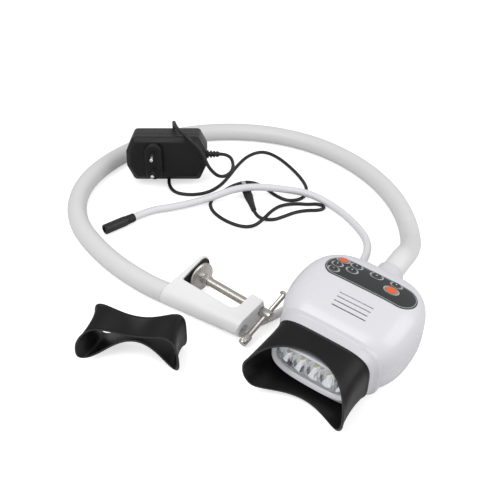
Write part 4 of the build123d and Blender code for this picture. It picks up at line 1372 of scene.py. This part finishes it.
@dataclass
class RubberShield:
    """A mouth shield: a sleeve that opens into a saddle-shaped rim with two wings."""

    name: str
    node: str
    body: str
    plane: Plane
    shift: float
    rim_middle: float
    waist: Point
    rear: float = 47.6
    reach: float = 89.0
    wing: float = 106.0
    wing_at: float = 60.0
    lean: float = 0.14
    shear: float = -2.6
    pinch: float = 2.0
    wall: float = 2.3
    lip: float = 1.5
    bead: float = 0.5
    bead_reach: float = 0.05
    lip_bead: float = 0.35
    lip_bead_reach: float = 0.03
    corner: float = 1.2
    shortest: float = 8.0
    roundest: float = 2.3
    squarest: float = 4.0
    deepest: float = 0.9
    rounds: int = 60
    damping: float = 0.6
    stations: Point = (47.6, 66.0, 88.0)
    widths: Point = (41.8, 41.5, 46.0)
    heights: Point = (28.9, 27.0, 25.8)
    rises: Point = (1.0, 1.0, -1.9)
    powers: Point = (4.0, 4.0, 2.6)
    sides: int = 260
    rows: int = 64

    def through(self, values: Point, station: Array) -> Array:
        """The parabola through the three stations' values.

        Args:
            values: the value at each of the three stations.
            station: where it is read.

        Returns:
            The value there.
        """
        a, b, c = self.stations
        first, second, third = values
        return (first * (station - b) * (station - c) / ((a - b) * (a - c))
                + second * (station - a) * (station - c) / ((b - a) * (b - c))
                + third * (station - a) * (station - b) / ((c - a) * (c - b)))

    def section(self, station: Array, angle: Array) -> Array:
        """Outer skin: an oval at each station, drawn in at its waist where the shield is pinched.

        Args:
            station: distances along the shield.
            angle: angles round it.

        Returns:
            A point for each pair.
        """
        wide, tall, rise, power, waist = (
            self.through(values, station)
            for values in (self.widths, self.heights, self.rises, self.powers, self.waist))
        across, up = superellipse(angle, np.clip(power, self.roundest, self.squarest))
        middle = (1 - np.clip(across, -1, 1) ** 2) ** self.pinch
        narrowed = 1 - np.clip(waist, 0.0, self.deepest) * middle
        aside = self.shear * (station - self.rear) / (self.reach - self.rear)
        points = np.broadcast_arrays(wide * across + aside, -station, rise + tall * narrowed * up)
        return np.stack(points, axis=-1)

    def rim_station(self, angle: Array) -> Array:
        """Where the skin meets the saddle rim, found by repeated substitution.

        The rim is a parabola across the shield that leans with height, rounded off at its reach.

        Args:
            angle: angles round the shield.

        Returns:
            The distance along the shield at each angle.
        """
        station = np.full(angle.shape, self.rim_middle)
        for _ in range(self.rounds):
            spot = self.section(station, angle)
            sagitta = (self.wing - self.rim_middle) * (spot[..., 0] / self.wing_at) ** 2
            target = self.rim_middle + sagitta - self.lean * spot[..., 2]
            soft = self.reach - self.corner * np.log1p(np.exp((self.reach - target) / self.corner))
            station = self.damping * station + (1 - self.damping) * soft
            station = np.clip(station, self.rear + self.shortest, self.reach)
        return station

    def skin(self, angle: Array) -> tuple[Array, Array]:
        """Outer skin from rear to rim, and its inward direction at each point.

        Args:
            angle: angles round the shield.

        Returns:
            Rows of rings of points, and of directions.
        """
        share = np.linspace(0.0, 1.0, self.rows)[:, None]
        station = self.rear + share * (self.rim_station(angle) - self.rear)
        skin = self.section(station, np.broadcast_to(angle, station.shape))
        around = np.roll(skin, -1, axis=1) - np.roll(skin, 1, axis=1)
        inward = unit(np.cross(np.gradient(skin, axis=0), around))
        to_middle = skin.mean(axis=1, keepdims=True) - skin
        return skin, inward * np.sign((to_middle * inward).sum(axis=-1).mean())

    def build(self) -> None:
        """Outer skin, rounded lip, inner skin and rounded rear edge as one closed grid."""
        skin, inward = self.skin(ring_angles(self.sides))
        share = np.linspace(0.0, 1.0, len(skin))[:, None, None]
        wall = self.wall + (self.lip - self.wall) * share**2
        at_rear = np.exp(-((share / self.bead_reach) ** 2))
        at_lip = np.exp(-(((1 - share) / self.lip_bead_reach) ** 2))
        outer = skin - inward * (self.bead * at_rear + self.lip_bead * at_lip)
        inner = skin + inward * wall
        turn = np.linspace(0.0, math.pi, 9)[1:-1, None, None]
        rounded = []
        for start, end, ahead, bulge in ((outer[-1:], inner[-1:], skin[-1:] - skin[-3:-2], self.lip / 2),
                                         (inner[:1], outer[:1], skin[:1] - skin[2:3], self.wall / 3)):
            half = (start - end) / 2
            rounded.append((start + end) / 2 + half * np.cos(turn) + unit(ahead) * np.sin(turn) * bulge)
        lip, rear = rounded
        grid = np.concatenate([outer, lip, inner[::-1], rear])
        grid[..., 1] += self.shift
        # Painted highlight: the rows of the lip and the rear edge get the shield's lighter second colour
        painted_edge_highlight = np.repeat((0.0, 1.0, 0.0, 1.0), (len(outer), len(lip), len(inner), len(rear)))
        piece = surface(self.name, self.plane.at(grid), SHIELD, wrap_rows=True, sharp=75.0, band=painted_edge_highlight)
        place(piece, self.body, "shield_rubber", self.node)


@dataclass
class Adapter:
    """The mains adapter: two shells, pin block, sleeved pins and the ribbed relief."""

    block_x: float = -13.0
    block_depth: float = 8.0
    pin_low: float = 15.75
    pin_pitch: float = 19.0
    pin_radius: float = 2.0
    pin_length: float = 19.0
    sleeve_radius: float = 2.3
    sleeve_length: float = 10.5
    pin_sides: int = 48

    def pins(self) -> None:
        """Two pins with rounded tips, each in a black sleeve over its root."""
        tip, thick = self.pin_length, self.pin_radius
        metal = [(-1.0, 0.0), (-1.0, thick), (tip - 1.6, thick), (tip - 0.9, thick - 0.15),
                 (tip - 0.35, thick - 0.6), (tip, 0.7), (tip, 0.0)]
        end, wide = self.sleeve_length, self.sleeve_radius
        cover = [(0.0, 0.0), (0.0, wide), (end - 0.3, wide), (end, wide - 0.2), (end, 0.0)]
        outward = ADAPTER.direction(0, -1, 0)
        for index in range(2):
            start = ADAPTER.at(self.block_x, -self.block_depth, self.pin_low + index * self.pin_pitch)
            pin = turned(f"mains_pin_{index + 1}", start, outward, metal, PIN, self.pin_sides)
            place(pin, "clamp", "pin_nickel", "mains_pins")
            sleeve = turned(f"pin_sleeve_{index + 1}", start, outward, cover, PIN_SLEEVE, self.pin_sides)
            place(sleeve, "clamp", "adapter_black")

    def build(self) -> None:
        """Makes the housing from softened copies and adds the pins."""
        softened = (
            ("adapter_front_shell", "adapter_front_case", SPARK, 0.0009, "adapter_black"),
            ("adapter_back_shell", "adapter_back_case", SPARK, 0.0006, "adapter_black"),
            ("adapter_plug_block", "adapter_pin_block", SPARK, 0.0006, "adapter_black"),
            ("adapter_strain_relief", "adapter_relief_ribbed", LEAD_BLACK, 0.0003, "lead_black"),
        )
        for node, name, finish, bevel, slot in softened:
            place(merged_copy(node, name, finish, bevel), "clamp", slot, node)
        self.pins()


@dataclass
class Leads:
    """Both leads as smooth splines, with the socket and the plug on their ends."""

    lead_diameter: float = 7.8
    lead_length: float = 0.5215
    lead_route: tuple[Point, ...] = (
        (-29.3, -114.5, 11.5), (-18.6, -124.5, 9.5), (-4.0, -124.0, 7.0), (10.5, -115.0, 5.0),
        (25.5, -103.0, 4.0), (42.0, -89.0, 3.9), (63.0, -76.0, 3.9), (88.0, -57.0, 3.9),
        (109.0, -31.0, 3.9), (121.0, 6.0, 3.9),
        (108.0, 45.0, 3.9), (89.0, 75.0, 4.2), (66.0, 93.0, 8.2), (38.0, 100.0, 9.4),
        (10.0, 98.0, 14.0), (-16.0, 94.0, 14.0), (-40.0, 85.5, 8.4), (-63.0, 77.5, 5.8),
        (-85.0, 69.5, 5.4),
    )
    lead_last_run: float = 21.0
    socket_end: Point = (-149.5, 28.0, 5.4)
    socket_direction: Point = (-0.77, -0.638, 0.0)
    socket_length: float = 36.0
    wire_diameter: float = 3.8
    wire_length: float = 0.9412
    wire_route: tuple[Point, ...] = (
        (-17.5, 128.0, 16.0), (-32.0, 116.0, 13.0), (-45.0, 112.5, 28.0),
        (-51.5, 117.5, 45.0), (-64.0, 119.0, 60.0), (-80.0, 139.0, 62.4), (-85.5, 162.0, 61.0),
        (-86.0, 172.0, 46.0), (-87.0, 169.0, 24.0), (-88.5, 166.0, 2.2), (-91.0, 146.0, 1.9),
        (-91.5, 124.0, 1.9), (-84.0, 105.0, 1.9), (-66.0, 99.5, 1.9), (-47.0, 104.0, 1.9),
        (-33.0, 119.0, 1.9), (-23.5, 140.0, 1.9), (-14.5, 164.0, 1.9), (-2.0, 187.0, 1.9),
        (15.0, 197.0, 1.9), (31.0, 185.0, 1.9), (46.0, 161.0, 1.9), (58.0, 135.0, 1.9),
        (64.0, 112.0, 1.9), (58.0, 92.0, 1.9), (41.5, 87.0, 1.9), (27.0, 99.0, 1.9),
        (16.0, 117.0, 1.9), (-1.0, 129.0, 1.9), (-18.0, 121.0, 1.9), (-31.0, 106.0, 1.9),
        (-44.0, 88.0, 1.9), (-41.0, 68.0, 1.9), (-27.0, 50.0, 1.9), (-9.0, 38.0, 1.9),
        (5.0, 36.5, 4.0), (15.0, 48.0, 6.2), (23.5, 63.0, 6.2), (34.0, 78.0, 3.0),
        (50.0, 82.6, 1.9), (62.0, 80.8, 1.9), (72.4, 82.0, 1.9), (79.0, 78.3, 1.9),
        (79.2, 72.2, 1.9), (72.2, 69.2, 1.9), (61.5, 69.4, 1.9), (48.5, 66.0, 1.9), (36.5, 58.0, 1.9),
        (23.0, 50.0, 1.9),
    )
    relief_end: Point = (58.0, 17.0, 25.0)
    wire_first_run: float = 13.0
    wire_last_run: float = 14.0
    plug_rear: Point = (4.2, 65.0, 4.9)
    plug_direction: Point = (-0.205, 0.97876, 0.0)
    plug_length: float = 44.0
    barrel_length: float = 13.0
    groove_count: int = 4
    groove_pitch: float = 2.4

    def cord(self, name: str, points: Array, diameter: float, finish: Finish) -> bpy.types.Object:
        """A NURBS spline of third order with the route's points as its control points.

        Args:
            name: the piece's name.
            points: the route in table millimetres.
            diameter: the cord's diameter in millimetres.
            finish: the finish it gets.

        Returns:
            The new object.
        """
        curve = bpy.data.curves.new(name, "CURVE")
        curve.dimensions = "3D"
        curve.bevel_depth = diameter * MM / 2
        curve.bevel_resolution = 6
        curve.resolution_u = 10
        curve.use_fill_caps = True
        spline = curve.splines.new("NURBS")
        spline.points.add(len(points) - 1)
        placed = np.concatenate([to_frame(points), np.ones((len(points), 1))], axis=1)
        spline.points.foreach_set("co", placed.astype(np.float32).ravel())
        spline.order_u = 3
        spline.use_endpoint_u = True
        curve.materials.append(finish.material())
        log.info("made %s with %d route points", name, len(points))
        return linked(name, curve)

    def socket(self, back: Array, direction: Array) -> bpy.types.Object:
        """Black socket sleeve on the lamp's lead: ribbed neck, waist and open bore.

        Args:
            back: where the lead enters it.
            direction: its direction.

        Returns:
            The placed piece.
        """
        end = self.socket_length
        neck = [(0.0, 0.0), (0.0, 3.9), (0.0, 4.3), (0.4, 4.6)]
        for rib in range(self.groove_count):
            near = 1.2 + rib * self.groove_pitch
            neck += [(near, 4.6), (near + 0.2, 4.1), (near + 1.0, 4.1), (near + 1.2, 4.7 + rib * 0.12)]
        body = [(11.6, 5.2), (12.4, 5.3), (end - 0.9, 5.3), (end - 0.25, 5.1), (end, 4.6), (end, 3.1),
                (end - 9.5, 3.0), (end - 9.5, 0.0)]
        piece = turned("lead_socket_sleeve", back, direction, neck + body, PLUG_BLACK)
        return place(piece, "clamp", "plug_black", "lead_socket")

    def plug(self, rear: Array, direction: Array) -> list[bpy.types.Object]:
        """Round plug: tapered relief, finger grooves and grip, and its plated barrel.

        Args:
            rear: where the lead enters it.
            direction: its direction.

        Returns:
            The two placed pieces.
        """
        end, far, thick = self.plug_length, self.barrel_length, 4.75
        grip = [(0.0, 0.0), (0.0, 2.4), (0.5, 2.8), (8.0, 3.1), (16.0, 3.6), (22.0, 4.2), (26.5, 4.6),
                (28.0, thick)]
        for groove in range(self.groove_count):
            near = 30.0 + groove * self.groove_pitch
            grip += [(near, thick), (near + 0.3, 4.35), (near + 0.9, 4.35), (near + 1.2, thick)]
        grip += [(end - 1.0, thick), (end - 0.3, 4.55), (end, 4.0), (end, 0.0)]
        metal = [(-0.5, 0.0), (-0.5, 2.75), (far - 0.5, 2.75), (far - 0.1, 2.6), (far, 2.35), (far, 1.9),
                 (far - 0.3, 1.8), (far - 0.3, 1.3), (far - 8.0, 1.25), (far - 8.0, 0.0)]
        handle = turned("plug_handle", rear, direction, grip, PLUG_BLACK)
        barrel = turned("plug_barrel_plated", rear + direction * end, direction, metal, BRIGHT, 64, 35.0)
        place(handle, "clamp", "plug_black", "plug_body")
        place(barrel, "clamp", "pin_nickel", "plug_barrel")
        return [handle, barrel]

    def build(self) -> None:
        direction = unit(np.array(self.socket_direction))
        end = np.array(self.socket_end) - direction * self.socket_length
        points = np.array([*self.lead_route, end - direction * self.lead_last_run, end])
        lead = self.cord("lamp_lead_jacket", points, self.lead_diameter, LEAD_WHITE)
        place(lead, "clamp", "lead_white", "lamp_lead")
        self.socket(end, direction)
        direction = unit(np.array(self.plug_direction))
        start, rear = ADAPTER.at(*self.relief_end), np.array(self.plug_rear)
        points = np.array([start, start + ADAPTER.direction(self.wire_first_run, 0, 0), *self.wire_route,
                           rear - direction * self.wire_last_run, rear])
        wire = self.cord("adapter_lead_jacket", points, self.wire_diameter, LEAD_BLACK)
        place(wire, "clamp", "lead_black", "adapter_lead")
        self.plug(rear, direction)


@dataclass
class Studio:
    """Camera at the photograph's angle, soft lights and a plain pale floor."""

    camera_place: Point = (0.0, -698.0, 509.0)
    camera_down: float = 36.1
    lens: float = 61.9
    sensor: float = 36.0
    floor_reach: float = 20000.0
    floor_grey: float = 0.7
    floor_glow: float = 0.6
    world_light: float = 0.58

    def camera(self) -> None:
        """Camera over the near side, tilted down at the object."""
        data = bpy.data.cameras.new("camera")
        data.lens = self.lens
        data.sensor_width = self.sensor
        camera = linked("camera", data)
        camera.location = tuple(to_frame(np.array(self.camera_place)))
        camera.rotation_euler = (math.radians(90.0 - self.camera_down), 0.0, 0.0)
        bpy.context.scene.camera = camera

    def lamp(self, name: str, spot: Point, size: float, power: float) -> None:
        """A square area light that faces the middle of the object.

        Args:
            name: the light's name.
            spot: its place in metres.
            size: the length of its side in metres.
            power: its power in watts.
        """
        data = bpy.data.lights.new(name, "AREA")
        data.size = size
        data.energy = power
        light = linked(name, data)
        light.location = spot
        x, y, z = spot
        light.rotation_euler = (math.acos(z / math.hypot(x, y, z)), 0.0, math.atan2(-x, y) + math.pi)

    def world(self) -> None:
        """Even pale surroundings, white where the camera sees them, also through glass."""
        world = bpy.data.worlds.new("studio")
        bpy.context.scene.world = world
        world.use_nodes = True
        board = NodeBoard(world.node_tree)
        path = board.add("LightPath").outputs
        seen = board.math("MAXIMUM", path["Is Camera Ray"], path["Is Transmission Ray"])
        more = board.math("MULTIPLY", seen, 1.0 - self.world_light)
        strength = board.math("ADD", more, self.world_light)
        board.fill(world.node_tree.nodes["Background"], {"Color": WHITE, "Strength": strength})

    def floor(self) -> None:
        """Wide pale floor that reads white and still takes the object's shadow."""
        far, low = self.floor_reach, -0.01
        points = np.array([(-far, -far, low), (-far, far, low), (far, -far, low), (far, far, low)])
        mesh = mesh_from_arrays("floor", points, grid_quads(2, 2, wrap=False)[:, ::-1])
        made = bpy.data.materials.new("floor_white")
        made.use_nodes = True
        board = NodeBoard(made.node_tree)
        seen = board.add("LightPath").outputs["Is Camera Ray"]
        board.fill(made.node_tree.nodes["Principled BSDF"], {
            "Base Color": (*[self.floor_grey] * 3, 1.0), "Roughness": 0.9, "Specular IOR Level": 0.1,
            "Emission Color": WHITE, "Emission Strength": board.math("MULTIPLY", seen, self.floor_glow)})
        mesh.materials.append(made)
        linked("floor", mesh)

    def build(self) -> None:
        """Sets the view transform, camera, lights, world and floor."""
        bpy.context.scene.view_settings.view_transform = "Standard"
        self.camera()
        self.lamp("key_light", (-0.5, -0.5, 1.1), 0.9, 7.5)
        self.lamp("fill_light", (0.9, -0.4, 0.8), 1.0, 5.5)
        self.world()
        self.floor()


INNER_FINISHES = {
    "shell_screws": STEEL,
    "control_board": BOARD,
    "tact_switches": SWITCH,
    "led_board": LAMP_BOARD,
    "heat_sink": SINK,
    "adapter_board": BOARD,
    "socket_contact": BRASS,
}


def main() -> None:
    """Builds the studio and every sub-assembly."""
    logging.basicConfig(level=logging.INFO, format="%(message)s")
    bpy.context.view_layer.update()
    Studio().build()
    Leads().build()
    Gooseneck().build()
    ClampParts().build()
    head = LampHead()
    head.build()
    KeyPanel(head).build()
    LightWindow().build()
    RubberShield("mouth_shield_rubber", "mouth_shield", "shield", HEAD, 0.0, 68.9, (0.0, 0.0, 0.0)).build()
    RubberShield("spare_shield_rubber", "spare_mouth_shield", "clamp", SPARE, 74.3, 65.2, (0.62, 0.87, 0.88),
                 reach=86.5, wing=100.0, lean=0.09, shear=-1.0, widths=(40.2, 38.8, 46.5),
                 heights=(25.6, 22.4, 22.0), rises=(1.0, 1.8, 0.4), pinch=1.3).build()
    Adapter().build()
    for node, finish in INNER_FINISHES.items():
        dress(node, finish)


if __name__ == "__main__":
    main()
